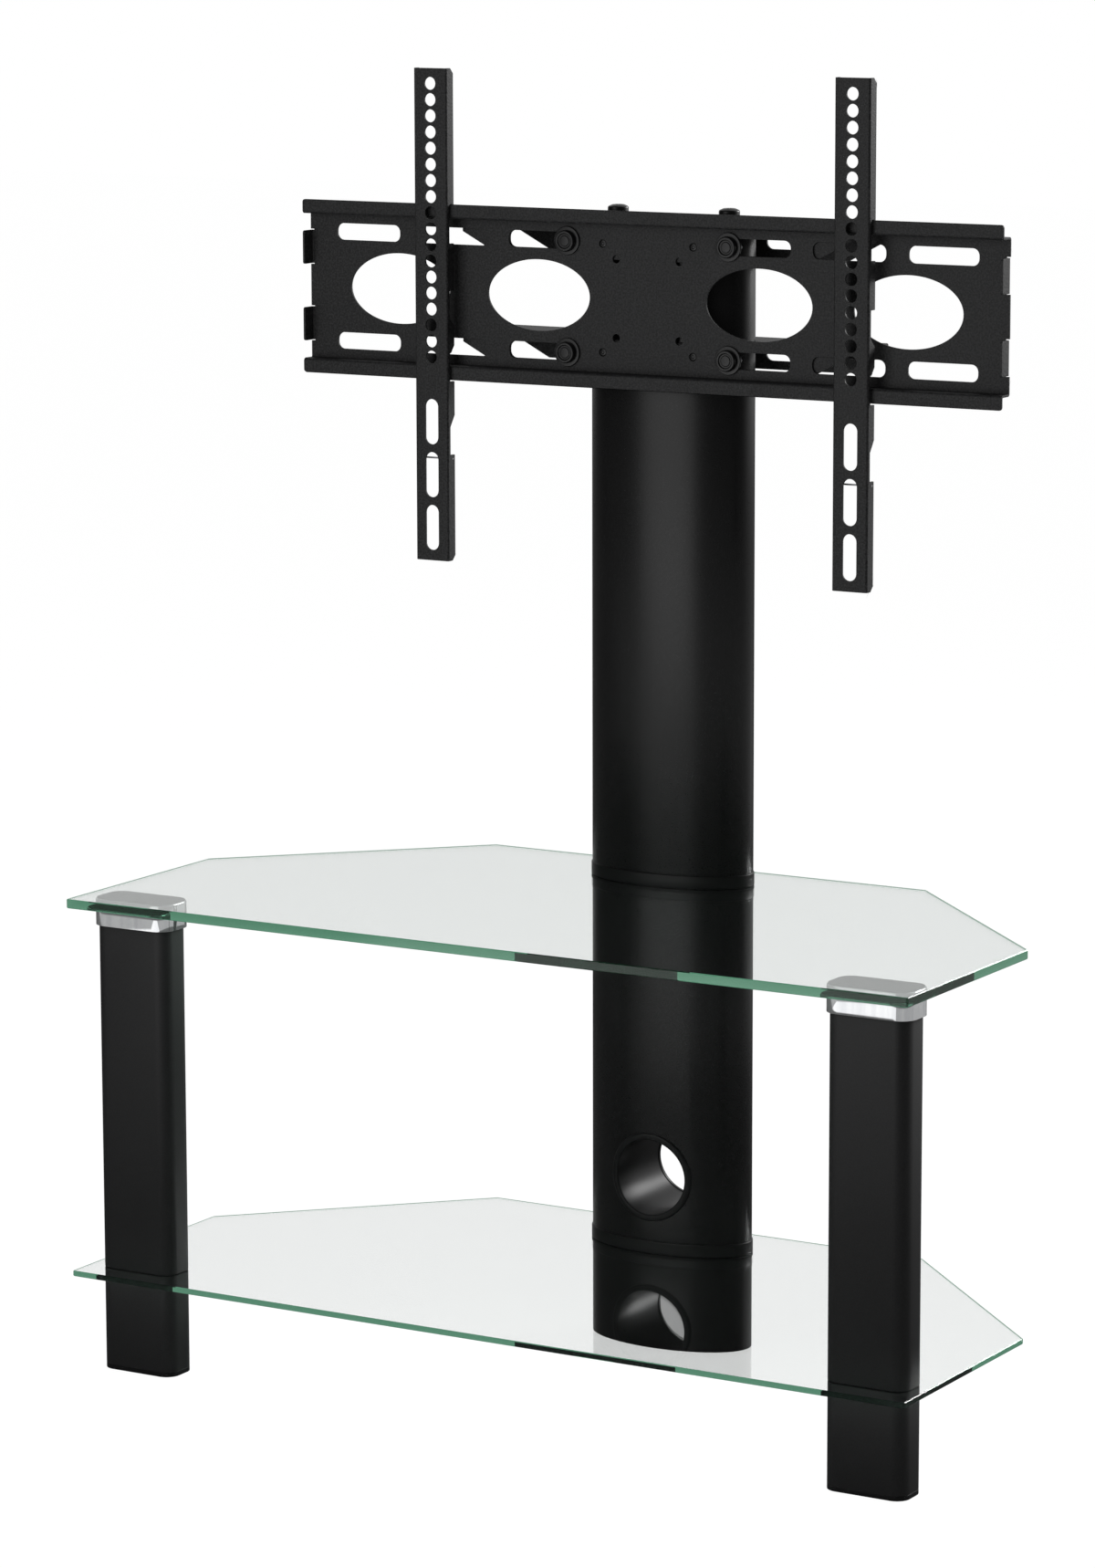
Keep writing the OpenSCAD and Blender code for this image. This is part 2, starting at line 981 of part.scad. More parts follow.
module plate_washers() {
    color(zinc)
        at_plate_bolts()
            difference() {
                bar_y(web_y - washer_t, washer_t, washer_dia);
                bar_y(web_y - washer_t - over, washer_t + 2 * over, plate_bolt_dia + fit_gap);
            }
}

module plate_nuts() {
    nut_y = rail_front_y + rail_t;
    color(zinc)
        at_plate_bolts()
            difference() {
                translate([0, nut_y, 0])
                    rotate([-90, 0, 0])
                        hex_prism(plate_nut_across, plate_nut_h);
                bar_y(nut_y - over, plate_nut_h + 2 * over, plate_bolt_dia + fit_gap);
            }
}

// Arms

// Side outline of an arm: depth from its front face, and height
module arm_profile() {
    seat_z = plate_top_z + slide_gap;
    nose_z = seat_z - hook_nose_drop;
    nose_d = arm_d - hook_nose_t;
    polygon([
        [0, arm_z],
        [0, arm_top_z],
        [arm_d - arm_corner, arm_top_z],
        [arm_d, arm_top_z - arm_corner],
        [arm_d, nose_z],
        [nose_d, nose_z],
        [nose_d, seat_z],
        [notch_d, seat_z],
        [notch_d, plate_z + grip_top],
        [arm_d, plate_z + grip_top],
        [arm_d, plate_z + grip_low],
        [notch_d, plate_z + grip_low],
        [notch_d, plate_z - relief_low],
        [arm_d, plate_z - relief_low - relief_slope],
        [arm_d, plate_z - toe_low],
        [toe_d, plate_z - toe_low - toe_slope],
        [notch_d, plate_z - toe_low - toe_slope],
        [notch_d, plate_z - tail_high],
        [arm_d, plate_z - tail_high],
        [arm_d, plate_z - tail_low],
        [notch_d, plate_z - tail_low - tail_slope],
        [notch_d, plate_z - tail_gap_low],
        [arm_d, plate_z - tail_gap_low],
        [arm_d, arm_z + arm_corner],
        [arm_d - arm_corner, arm_z]
    ]);
}

// Section of an arm: a channel with round bends, open to the back
module arm_section() {
    difference() {
        union() {
            translate([-arm_w / 2, arm_bend_r])
                square([arm_w, arm_d - arm_bend_r]);
            translate([-arm_w / 2 + arm_bend_r, 0])
                square([arm_w - 2 * arm_bend_r, arm_d]);
            for (x = sides)
                translate([x * (arm_w / 2 - arm_bend_r), arm_bend_r])
                    circle(r = arm_bend_r);
        }
        translate([-arm_w / 2 + sheet_t, sheet_t])
            square([arm_w - 2 * sheet_t, arm_d]);
    }
}

module arm_holes() {
    for (i = [0 : arm_hole_count - 1])
        translate([0, 0, arm_top_z - arm_first_hole - i * arm_hole_pitch])
            bar_y(arm_y - over, sheet_t + 2 * over, arm_hole_dia);
    for (i = [0 : arm_slot_count - 1])
        upright(arm_y - over, sheet_t + 2 * over)
            translate([0, arm_z + arm_last_slot + i * arm_slot_pitch])
                rotate(90)
                    round_slot(arm_slot_len, arm_slot_w);
}

module arm(x) {
    color(powder_black)
        translate([x, 0, 0])
            difference() {
                intersection() {
                    translate([0, arm_y, arm_z])
                        linear_extrude(arm_len)
                            arm_section();
                    translate([-arm_w / 2 - over, arm_y, 0])
                        rotate([90, 0, 90])
                            linear_extrude(arm_w + 2 * over)
                                arm_profile();
                }
                arm_holes();
                translate([-arm_w / 2 - over, arm_y + pin_d, plate_z - pin_drop])
                    rotate([0, 90, 0])
                        cylinder(h = arm_w + 2 * over, d = pin_dia + fit_gap);
            }
}

module left_arm() {
    arm(-arm_x);
}

module right_arm() {
    arm(arm_x);
}

// Thin pin across the foot of an arm
module arm_pin(x) {
    color(zinc)
        translate([x - arm_w / 2, arm_y + pin_d, plate_z - pin_drop])
            rotate([0, 90, 0])
                cylinder(h = arm_w, d = pin_dia);
}

module left_arm_pin() {
    arm_pin(-arm_x);
}

module right_arm_pin() {
    arm_pin(arm_x);
}

top_shelf();
lower_shelf();
left_leg_tube();
right_leg_tube();
left_foot_tube();
right_foot_tube();
left_foot_plug();
right_foot_plug();
left_leg_cap();
right_leg_cap();
leg_end_plugs();
leg_tie_rods();
leg_nuts();
cap_pads();
column_lower_tube();
column_middle_tube();
column_upper_tube();
lower_seat_ring();
lower_collar();
upper_seat_ring();
upper_collar();
cable_liner();
liner_ring();
column_base_plate();
column_glides();
column_lid();
column_tie_rods();
top_screws();
upper_rail();
lower_rail();
rail_screws();
mount_plate();
upper_flange();
lower_flange();
upper_lip();
lower_lip();
plate_bolts();
plate_washers();
plate_nuts();
left_arm();
right_arm();
left_arm_pin();
right_arm_pin();
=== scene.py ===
# %% [markdown]
# # A television stand with a slotted mount
# The stand is two glass shelves on two short legs and one tall oval column. A pressed steel plate
# hangs on the column, and two channel arms hook over the plate and slide along it.
# The construction model fixes every size and place. This script makes the surfaces that a buyer
# would see, so it starts by loading that model, and it never moves or reshapes it.

# %% Load the construction model
import json
from math import cos, hypot, pi, radians, sin, sqrt, tan

import bmesh
import bpy
from mathutils import Matrix, Vector


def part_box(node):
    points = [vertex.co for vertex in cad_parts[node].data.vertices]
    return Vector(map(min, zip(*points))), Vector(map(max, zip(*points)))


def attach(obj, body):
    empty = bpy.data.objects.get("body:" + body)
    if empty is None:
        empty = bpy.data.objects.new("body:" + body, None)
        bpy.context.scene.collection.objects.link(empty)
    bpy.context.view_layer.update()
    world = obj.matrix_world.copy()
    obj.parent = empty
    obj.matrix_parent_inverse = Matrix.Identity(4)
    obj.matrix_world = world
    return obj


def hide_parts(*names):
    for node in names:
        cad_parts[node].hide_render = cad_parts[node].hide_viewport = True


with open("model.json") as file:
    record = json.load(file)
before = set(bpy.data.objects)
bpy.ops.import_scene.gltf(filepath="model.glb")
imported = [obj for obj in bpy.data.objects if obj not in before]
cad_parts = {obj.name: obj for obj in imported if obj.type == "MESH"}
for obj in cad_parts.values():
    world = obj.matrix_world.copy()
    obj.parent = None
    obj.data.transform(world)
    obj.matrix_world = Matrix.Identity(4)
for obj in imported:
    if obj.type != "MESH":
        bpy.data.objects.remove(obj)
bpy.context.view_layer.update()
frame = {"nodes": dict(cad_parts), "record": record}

# %% [markdown]
# ## The camera
# The photograph was taken with a long lens from the right, a little above the shelves. The camera
# stands where the straight edges of the glass say it stood. A small lens shift puts the picture's
# centre where it was, and the long side of the frame is the upright one.

# %% Camera
scene = bpy.context.scene
photo_w, photo_h = 1200, 1718
lens_px = 5896.8
centre_px = (641.1, 839.9)
camera_at = (2.2411, -3.8503, 1.2949)
yaw, pitch, roll = radians(30.27), radians(9.70), radians(-0.075)
camera_data = bpy.data.cameras.new("camera")
camera_data.sensor_width = 36
camera_data.lens = lens_px * camera_data.sensor_width / photo_h
camera_data.shift_x = (photo_w / 2 - centre_px[0]) / photo_h
camera_data.shift_y = (centre_px[1] - photo_h / 2) / photo_h
camera_data.clip_end = 60
camera = bpy.data.objects.new("camera", camera_data)
turned = Matrix.Rotation(yaw, 4, "Z") @ Matrix.Rotation(pi / 2 - pitch, 4, "X")
camera.matrix_world = Matrix.Translation(camera_at) @ turned @ Matrix.Rotation(roll, 4, "Z")
scene.collection.objects.link(camera)
scene.camera = camera
scene.view_settings.view_transform = "Standard"
print("lens", round(camera_data.lens, 2), "mm")

# %% [markdown]
# ## Sizes
# Most sizes are read from the construction model's boxes, so the pieces made here always fit it.
# The few that a box can't tell, such as a sheet's thickness or a corner's radius, are named once.
# Two tolerances help to find points: one for points that are the same, one for points in a plane.

# %% Sizes of the stand
mm = 0.001
same_point = 0.001 * mm
same_level = 0.01 * mm
sides = (-1, 1)


def middle(node):
    """Centre of a construction node's box."""
    low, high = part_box(node)
    return (low + high) / 2


def extent(node):
    """Size of a construction node's box."""
    low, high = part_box(node)
    return high - low


shelf = extent("top_shelf")
shelf_back_w = 430 * mm
shelf_side_d = 215 * mm
shelf_corner_r = 2 * mm
arris = 0.7 * mm
leg = extent("left_leg_tube")
leg_centre = middle("right_leg_tube")
leg_r = 12 * mm
leg_wall = 1.5 * mm
cap = extent("left_leg_cap")
column_mid = middle("column_upper_tube")
column_rx = extent("column_upper_tube").x / 2
column_ry = extent("column_upper_tube").y / 2
column_wall = 2 * mm
glass_bearing = 8 * mm
sheet = 2 * mm
soft_edge = 0.3 * mm
print("shelf:", [round(size / mm) for size in shelf])
print("column radii:", round(column_rx / mm, 1), round(column_ry / mm, 1))

# %% [markdown]
# ## Writing materials as sums
# A finish is a small graph of nodes. Here one class wraps a socket of that graph, so that a line
# such as `0.4 + 0.1 * grain` adds its Math nodes by itself. Every other node comes from `add`,
# which takes the node's kind, then its sockets' values or links, then its settings.

# %% A socket that can be added and multiplied
class Flow:
    """One socket of a finish's graph."""

    def __init__(self, tree, socket=None):
        self.tree = tree
        self.socket = socket

    def add(self, kind, sockets=None, settings=None, out=0):
        """A shader node of any kind; its settings are set before its sockets."""
        node = self.tree.nodes.new("ShaderNode" + kind)
        for name, value in (settings or {}).items():
            setattr(node, name, value)
        for name, value in (sockets or {}).items():
            if isinstance(value, Flow):
                self.tree.links.new(value.socket, node.inputs[name])
            else:
                node.inputs[name].default_value = value
        return Flow(self.tree, node.outputs[out])

    def maths(self, operation, first, second):
        return self.add("Math", {0: first, 1: second}, {"operation": operation})

    def __add__(self, other):
        return self.maths("ADD", self, other)

    def __radd__(self, other):
        return self.maths("ADD", other, self)

    def __sub__(self, other):
        return self.maths("SUBTRACT", self, other)

    def __rsub__(self, other):
        return self.maths("SUBTRACT", other, self)

    def __mul__(self, other):
        return self.maths("MULTIPLY", self, other)

    def __rmul__(self, other):
        return self.maths("MULTIPLY", other, self)

    def ramp(self, low, high):
        """0 below low, 1 above high, smooth between."""
        sockets = {"Value": self, "From Min": low, "From Max": high}
        return self.add("MapRange", sockets, {"interpolation_type": "SMOOTHSTEP"})

    def tint(self, first, second):
        """A colour that goes from first to second as this value goes from 0 to 1."""
        sockets = {0: self, 6: (*first, 1), 7: (*second, 1)}
        return self.add("Mix", sockets, {"data_type": "RGBA"}, out=2)


# %% [markdown]
# A finish starts from a Principled shader. Numbers that are the same all over the piece are set
# on the shader itself, and only what varies over the surface is linked to it.

# %% Starting a finish
finishes = {}


class Finish:
    """A material under its slot's name, with its shader and the points of its pattern."""

    def __init__(self, slot, **constants):
        self.material = bpy.data.materials.new(slot)
        self.material.use_nodes = True
        tree = self.material.node_tree
        self.shader = tree.nodes["Principled BSDF"]
        self.output = tree.nodes["Material Output"]
        self.root = Flow(tree)
        self.lit = Flow(tree, self.shader.outputs["BSDF"])
        self.point = self.root.add("TexCoord", out="Object")
        for name, value in constants.items():
            self.shader.inputs[name.replace("_", " ")].default_value = value
        finishes[slot] = self.material

    def noise(self, scale, detail=2.0, stretch=(1, 1, 1)):
        """Soft random values between 0 and 1; scale is in waves to the metre."""
        place = self.root.add("Mapping", {"Vector": self.point, "Scale": stretch})
        return self.root.add("TexNoise", {"Vector": place, "Scale": scale, "Detail": detail})

    def link(self, socket, value):
        self.root.tree.links.new(value.socket, self.shader.inputs[socket])

    def bump(self, height, depth, strength=0.5):
        """Lets a height pattern tilt the surface; depth is its real height in metres."""
        sockets = {"Height": height, "Distance": depth, "Strength": strength}
        self.link("Normal", self.root.add("Bump", sockets))


# %% [markdown]
# ## Black coats
# Steel parts of such a stand are powder coated. The powder melts into a skin with a fine pebbled
# grain, and the grain breaks every reflection into sparkle. A bump does this. The colour varies
# with the grain as well, strongly on the bracket and only a little on the others. The bracket
# has the coarse coat, the legs a finer one and the column the smoothest.

# %% Powder coats
def powder_coat(slot, colour, rough, grain, depth, mottle, shine):
    coat = Finish(slot, Specular_IOR_Level=shine)
    pebble = coat.noise(grain, 3.0)
    cloud = coat.noise(6, 3.0)
    tone = ((pebble - 0.5) * mottle + (cloud - 0.5) * 0.5 + 0.5).ramp(0, 1)
    coat.link("Base Color", tone.tint([c * 0.55 for c in colour], [c * 1.45 for c in colour]))
    coat.link("Roughness", rough + 0.16 * (pebble - 0.5) + 0.08 * (cloud - 0.5))
    coat.bump(pebble, depth, 0.7)


powder_coat("bracket_paint", (0.035, 0.035, 0.036), 0.56, 620, 0.4 * mm, 3.5, 0.4)
powder_coat("leg_paint", (0.023, 0.023, 0.0239), 0.54, 900, 0.07 * mm, 0.8, 0.5)
powder_coat("column_paint", (0.009, 0.009, 0.0093), 0.30, 1100, 0.04 * mm, 0.6, 0.45)
print("coats:", sorted(finishes))

# %% [markdown]
# ## Plastic, rubber, plated and blackened steel
# The collars and the liner are moulded, with the dull leather-like skin of an etched mould. The
# caps are polished and plated, so they show their surroundings and only a breath of polishing
# marks. Zinc is duller and cloudy, and the screws are blackened, with worn crowns.

# %% Small finishes
def moulded(slot, colour, rough, grain):
    skin = Finish(slot, Specular_IOR_Level=0.25)
    sockets = {"Vector": skin.point, "Scale": grain}
    cells = skin.root.add("TexVoronoi", sockets, {"feature": "SMOOTH_F1"})
    cloud = skin.noise(14, 3.0)
    skin.link("Base Color", cloud.tint([c * 0.75 for c in colour], [c * 1.3 for c in colour]))
    skin.link("Roughness", rough + 0.12 * (cloud - 0.5))
    skin.bump(cells, 0.06 * mm, 0.35)


def polished_cap(slot):
    plate = Finish(slot, Metallic=0.85)
    marks = plate.noise(700, 2.0, (1, 1, 0.03))
    streaks = plate.noise(170, 2.0, (1, 1, 0.02))
    cloud = plate.noise(30, 2.0)
    plate.link("Base Color", streaks.ramp(0.3, 0.7).tint((0.80, 0.81, 0.83), (0.91, 0.92, 0.93)))
    plate.link("Roughness", 0.02 + 0.03 * marks + 0.03 * cloud.ramp(0.45, 0.75))
    plate.bump(marks, 0.001 * mm, 0.2)


def zinc_plate(slot):
    zinc = Finish(slot, Metallic=1.0)
    spangle = zinc.root.add("TexVoronoi", {"Vector": zinc.point, "Scale": 260})
    cloud = zinc.noise(90, 3.0)
    zinc.link("Base Color", cloud.tint((0.44, 0.45, 0.47), (0.60, 0.61, 0.62)))
    zinc.link("Roughness", 0.28 + 0.2 * spangle + 0.1 * cloud)


def blackened_steel(slot):
    steel = Finish(slot, Specular_IOR_Level=0.5)
    grain = steel.noise(850, 3.0)
    worn = steel.noise(120, 4.0).ramp(0.58, 0.75)
    steel.link("Base Color", worn.tint((0.010, 0.010, 0.0105), (0.026, 0.026, 0.027)))
    steel.link("Metallic", 0.3 * worn)
    steel.link("Roughness", 0.31 + 0.15 * (grain - 0.5) - 0.06 * worn)
    steel.bump(grain, 0.03 * mm, 0.4)


moulded("black_plastic", (0.0135, 0.0135, 0.014), 0.37, 1400)
moulded("rubber", (0.022, 0.022, 0.022), 0.75, 900)
polished_cap("cap_chrome")
zinc_plate("zinc")
blackened_steel("black_screw")
print("small finishes:", sorted(finishes))

# %% [markdown]
# ## Glass
# Float glass is nearly clear through its thickness, but green along it, because light that enters
# an edge crosses the whole sheet. So the surface is clear and the inside absorbs a little light,
# most of it red and blue. Real glass also carries faint smears, which are a breath of roughness.
# Light falls through glass, which a ray tracer finds hard, so shadow rays meet a plain
# transparent surface instead. A ray that enters the narrow edge runs along inside the sheet and
# is mirrored from face to face, more often than a render follows. So a ray that meets a face
# from inside, beyond the angle at which glass mirrors, leaves through a green filter there.

# %% Clear glass with a green edge
absorbed = {"top_glass": (6.3, 3.3, 4.5), "lower_glass": (6.6, 3.9, 4.9)}
edge_filter = (0.10, 0.25, 0.165)
edge_haze = {"top_glass": (0.006, 0.027, 0.014), "lower_glass": (0.016, 0.019, 0.018)}
glass_ior = 1.51
slant_margin = 0.015
mirror_from = 1 - sqrt(1 - 1 / glass_ior ** 2) + slant_margin
density_margin = 1.1
for slot, loss in absorbed.items():
    pane = Finish(slot, Transmission_Weight=1.0, IOR=glass_ior, Base_Color=(1, 1, 1, 1))
    add = pane.root.add
    smear = pane.noise(7, 4.0, (1, 2.5, 1)).ramp(0.52, 0.8)
    specks = pane.noise(450, 1.0).ramp(0.78, 0.82)
    pane.link("Roughness", 0.006 * smear + 0.02 * specks)
    density = density_margin * max(loss)
    through = [1 - amount / density for amount in loss]
    inside = add("VolumeAbsorption", {"Color": (*through, 1), "Density": density})
    pane.root.tree.links.new(inside.socket, pane.output.inputs["Volume"])
    clear = add("BsdfTransparent", {"Color": (0.93, 0.97, 0.95, 1)})
    shadow_ray = add("LightPath", out="Is Shadow Ray")
    green = add("BsdfTransparent", {"Color": (*edge_filter, 1)})
    haze = add("BsdfDiffuse", {"Color": (*edge_haze[slot], 1)})
    edge_light = add("AddShader", {0: green, 1: haze})
    slant = add("LayerWeight", {"Blend": 0.5}, out="Facing")
    from_inside = add("NewGeometry", out="Backfacing")
    mirrored = from_inside * slant.maths("GREATER_THAN", slant, mirror_from)
    body = add("MixShader", {0: mirrored, 1: pane.lit, 2: edge_light})
    surface = add("MixShader", {0: shadow_ray, 1: body, 2: clear})
    pane.root.tree.links.new(surface.socket, pane.output.inputs["Surface"])
print("finishes:", len(finishes))

# %% [markdown]
# ## Making pieces
# Each piece is modelled in a bmesh, Blender's editing mesh, and then becomes an object that rides
# on a body of the construction model. Faces are smooth except across sharp corners.

# %% From bmesh to a finished piece
slot_of = {row["node"]: row["material_slot"] for row in frame["record"]["subparts"]}
bodies = frame["record"]["behaviour"]["bodies"]
body_of = {node: body for body, nodes in bodies.items() for node in nodes}
print("bodies:", sorted(bodies))


def as_object(bm, name):
    """A plain object from a bmesh, at the origin, with its faces turned outwards."""
    bmesh.ops.remove_doubles(bm, verts=bm.verts, dist=same_point)
    bmesh.ops.recalc_face_normals(bm, faces=bm.faces)
    mesh = bpy.data.meshes.new(name)
    bm.to_mesh(mesh)
    bm.free()
    piece = bpy.data.objects.new(name, mesh)
    scene.collection.objects.link(piece)
    return piece


def dress(piece, *nodes, crease=35):
    """Gives a piece the finish and the body of the nodes that it stands for."""
    slot = slot_of[nodes[0]]
    piece.data.materials.clear()
    piece.data.materials.append(finishes[slot])
    piece.data.shade_smooth()
    piece.data.set_sharp_from_angle(angle=radians(crease))
    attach(piece, body_of[nodes[0]])
    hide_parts(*nodes)
    print(piece.name, len(piece.data.polygons), "faces")
    return piece


def settle(piece):
    """Replaces a piece's mesh by the one that its modifiers make."""
    shape = piece.evaluated_get(bpy.context.evaluated_depsgraph_get())
    mesh = bpy.data.meshes.new_from_object(shape)
    piece.modifiers.clear()
    piece.data = mesh


def cut(piece, cutter, crossing=False):
    """Takes the cutter's shape out of a piece; crossing is for a cutter whose parts overlap."""
    saw = piece.modifiers.new("cut", "BOOLEAN")
    saw.operation = "DIFFERENCE"
    saw.solver = "EXACT"
    saw.use_self = crossing
    saw.object = cutter
    settle(piece)
    bpy.data.objects.remove(cutter)


# %% [markdown]
# ## Outlines
# Many pieces start as one flat face. Its corners are listed with their radii, and a bevel of the
# corners' vertices turns each one into an arc. The bevel is measured along the edges, so the
# radius is first turned into the distance at which the arc leaves the edge.

# %% A flat face with round corners
def round_off(bm, geom, radius, segments, affect="EDGES"):
    """Turns sharp edges or corners into rounds of so many segments; one segment makes a flat."""
    bmesh.ops.bevel(
        bm, geom=geom, affect=affect, offset=radius, segments=segments, profile=0.5, material=-1
    )


def flat_face(bm, corners, steps=6):
    """A face in the XY plane from (x, y, radius) corners."""
    verts = [bm.verts.new((x, y, 0)) for x, y, _ in corners]
    bm.faces.new(verts)
    setback = {}
    for i, (x, y, radius) in enumerate(corners):
        if radius > 0:
            before = Vector(corners[i - 1][:2]) - Vector((x, y))
            after = Vector(corners[(i + 1) % len(corners)][:2]) - Vector((x, y))
            reach = round(radius / tan(before.angle(after) / 2), 7)
            setback.setdefault(reach, []).append(verts[i])
    for reach, chosen in setback.items():
        round_off(bm, chosen, reach, steps, "VERTICES")
    return bm


def block(width, depth, radius):
    """Corners of a rectangle round the origin, all with one radius."""
    return [
        (-width / 2, -depth / 2, radius), (width / 2, -depth / 2, radius),
        (width / 2, depth / 2, radius), (-width / 2, depth / 2, radius)
    ]


# %% [markdown]
# ## Glass shelves
# A shelf is a sheet with its rear corners cut off at a slant and an oval hole for the column. Cut
# glass is ground flat at the edge and then broken with a narrow flat, the arris, which catches
# the light as a thin line. The outline and the hole are joined by filling the flat between their
# edges, the face is pulled up to the sheet's thickness, and the rims are bevelled once.

# %% Cutting flat sheets
small_hole = 10 * mm


def sheet_face(corners, holes=(), steps=6):
    """A flat sheet in the XY plane; each hole is (x, y, half width, half height) or a corner list."""
    bm = flat_face(bmesh.new(), corners, steps)
    for hole in holes:
        if isinstance(hole, list):
            flat_face(bm, hole, steps)
        else:
            x, y, half_w, half_h = hole
            round_steps = 40 if max(half_w, half_h) < small_hole else 96
            place = Matrix.Translation((x, y, 0)) @ Matrix.Diagonal((half_w, half_h, 1, 1))
            bmesh.ops.create_circle(bm, segments=round_steps, radius=1, matrix=place)
    bmesh.ops.delete(bm, geom=bm.faces[:], context="FACES_ONLY")
    bmesh.ops.triangle_fill(bm, use_beauty=True, use_dissolve=False, edges=bm.edges[:])
    return bm


def rim_edges(bm, least=60):
    """Edges where two faces meet at more than so many degrees."""
    return [e for e in bm.edges if e.is_manifold and e.calc_face_angle(0) > radians(least)]


def shift(bm, x=0, y=0, z=0):
    """Moves a whole bmesh."""
    bmesh.ops.translate(bm, verts=bm.verts, vec=(x, y, z))
    return bm


def raise_faces(bm, faces, height, keep_floor=False):
    """Extrudes faces straight up, with or without a copy left behind as the floor."""
    raised = bmesh.ops.extrude_face_region(bm, geom=faces, use_keep_orig=keep_floor)["geom"]
    tops = [part for part in raised if isinstance(part, bmesh.types.BMVert)]
    bmesh.ops.translate(bm, verts=tops, vec=(0, 0, height))


def pull_up(bm, low, high, edge=0.0, segments=2):
    """Makes a flat face a solid from low to high, and softens its rims."""
    shift(bm, z=low)
    raise_faces(bm, bm.faces[:], high - low, keep_floor=True)
    bmesh.ops.recalc_face_normals(bm, faces=bm.faces)
    if edge:
        round_off(bm, rim_edges(bm), edge, segments)
    return bm


# %% Two shelves
shelf_front = -shelf.y / 2
shelf_corners = [
    (-shelf.x / 2, shelf_front, shelf_corner_r),
    (shelf.x / 2, shelf_front, shelf_corner_r),
    (shelf.x / 2, shelf_front + shelf_side_d, shelf_corner_r),
    (shelf_back_w / 2, shelf.y / 2, shelf_corner_r),
    (-shelf_back_w / 2, shelf.y / 2, shelf_corner_r),
    (-shelf.x / 2, shelf_front + shelf_side_d, shelf_corner_r),
]
oval = (0, column_mid.y, column_rx - glass_bearing, column_ry - glass_bearing)
rod_hole_r = 5.5 * mm
rod_holes = [(side * leg_centre.x, leg_centre.y, rod_hole_r, rod_hole_r) for side in sides]
for node, holes in (("top_shelf", [oval]), ("lower_shelf", [oval] + rod_holes)):
    low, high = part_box(node)
    pane = pull_up(sheet_face(shelf_corners, holes, 10), low.z, high.z, arris, 1)
    dress(as_object(pane, node + "_pane"), node, crease=20)

# %% [markdown]
# ## Legs, feet and caps
# A leg is a rounded rectangular tube in two lengths, with the lower glass clamped between them.
# The face of the leg's section is inset by the wall, the middle is thrown away, and the ring that
# is left is pulled up.

# %% Leg tubes
def inset(bm, faces, width):
    """Insets faces by an even width, also where they end at an open edge."""
    bmesh.ops.inset_region(
        bm, faces=faces, thickness=width, use_even_offset=True, use_boundary=True
    )


def tube_face(corners, wall, steps=10):
    """The ring-shaped section of a tube with this outline and wall."""
    bm = flat_face(bmesh.new(), corners, steps)
    core = bm.faces[:]
    inset(bm, core, wall)
    bmesh.ops.delete(bm, geom=core, context="FACES_ONLY")
    return bm


def at_leg(bm, side):
    """Moves what was made round the origin to a leg's axis."""
    return shift(bm, side * leg_centre.x, leg_centre.y)


for side, hand in zip(sides, ("left", "right")):
    for part in ("leg_tube", "foot_tube"):
        low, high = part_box(f"{hand}_{part}")
        tube = pull_up(tube_face(block(leg.x, leg.y, leg_r), leg_wall), low.z, high.z, soft_edge)
        dress(as_object(at_leg(tube, side), f"{hand}_{part}_skin"), f"{hand}_{part}")

# %% [markdown]
# The foot is a moulded plug with a crisp lower rim. It is a solid with the leg's outline, and an
# inset of its top is raised into the tube.

# %% Feet
plug_depth = 12 * mm
foot_edge = 0.3 * mm


def make_foot(side, hand):
    """The foot below one leg."""
    foot_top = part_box(f"{hand}_foot_plug")[1].z - plug_depth
    foot = pull_up(flat_face(bmesh.new(), block(leg.x, leg.y, leg_r), 10), 0, foot_top, foot_edge, 3)
    crown = [f for f in foot.faces if f.calc_center_median().z > foot_top - same_level]
    inset(foot, crown, leg_wall)
    raise_faces(foot, crown, plug_depth)
    bmesh.ops.delete(foot, geom=crown, context="FACES_ONLY")
    dress(as_object(at_leg(foot, side), f"{hand}_foot"), f"{hand}_foot_plug")


# %% [markdown]
# The cap is a cup that hides the tube's cut end: its sides stand proud of the leg, and its top
# edge is rolled over towards the glass. The pocket underneath is an inset of the bottom face that
# is pushed up into the cap. The rims are found by their height, so each gets its own round.
# Feet and caps are then made leg by leg.

# %% Caps, made together with the feet
cap_roof = 4 * mm
cap_roll = 1.5 * mm
cap_hem = 0.3 * mm
roof_gap = 0.6 * mm
fit_gap = 0.2 * mm
proud = (cap.x - leg.x) / 2


def make_cap(side, hand):
    """The cap on one leg, under the top glass."""
    low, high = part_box(f"{hand}_leg_cap")
    roof = high.z - roof_gap
    cup = pull_up(flat_face(bmesh.new(), block(cap.x, cap.y, leg_r + proud), 12), low.z, roof)
    top_rim = [e for e in rim_edges(cup) if all(v.co.z > roof - same_level for v in e.verts)]
    round_off(cup, top_rim, cap_roll, 5)
    base = [f for f in cup.faces if f.calc_center_median().z < low.z + same_level]
    inset(cup, base, proud - fit_gap)
    bmesh.ops.translate(
        cup, verts=[v for f in base for v in f.verts], vec=(0, 0, high.z - low.z - cap_roof)
    )
    hem = [e for e in rim_edges(cup) if all(v.co.z < low.z + same_level for v in e.verts)]
    round_off(cup, hem, cap_hem, 3)
    dress(as_object(at_leg(cup, side), f"{hand}_cap"), f"{hand}_leg_cap")


for side, hand in zip(sides, ("left", "right")):
    make_foot(side, hand)
    make_cap(side, hand)

# %% [markdown]
# A thin dark pad on each cap's roof carries the glass, and shows through it as a satin grey
# field. Both pads are one piece here, so one bmesh is added to the other.

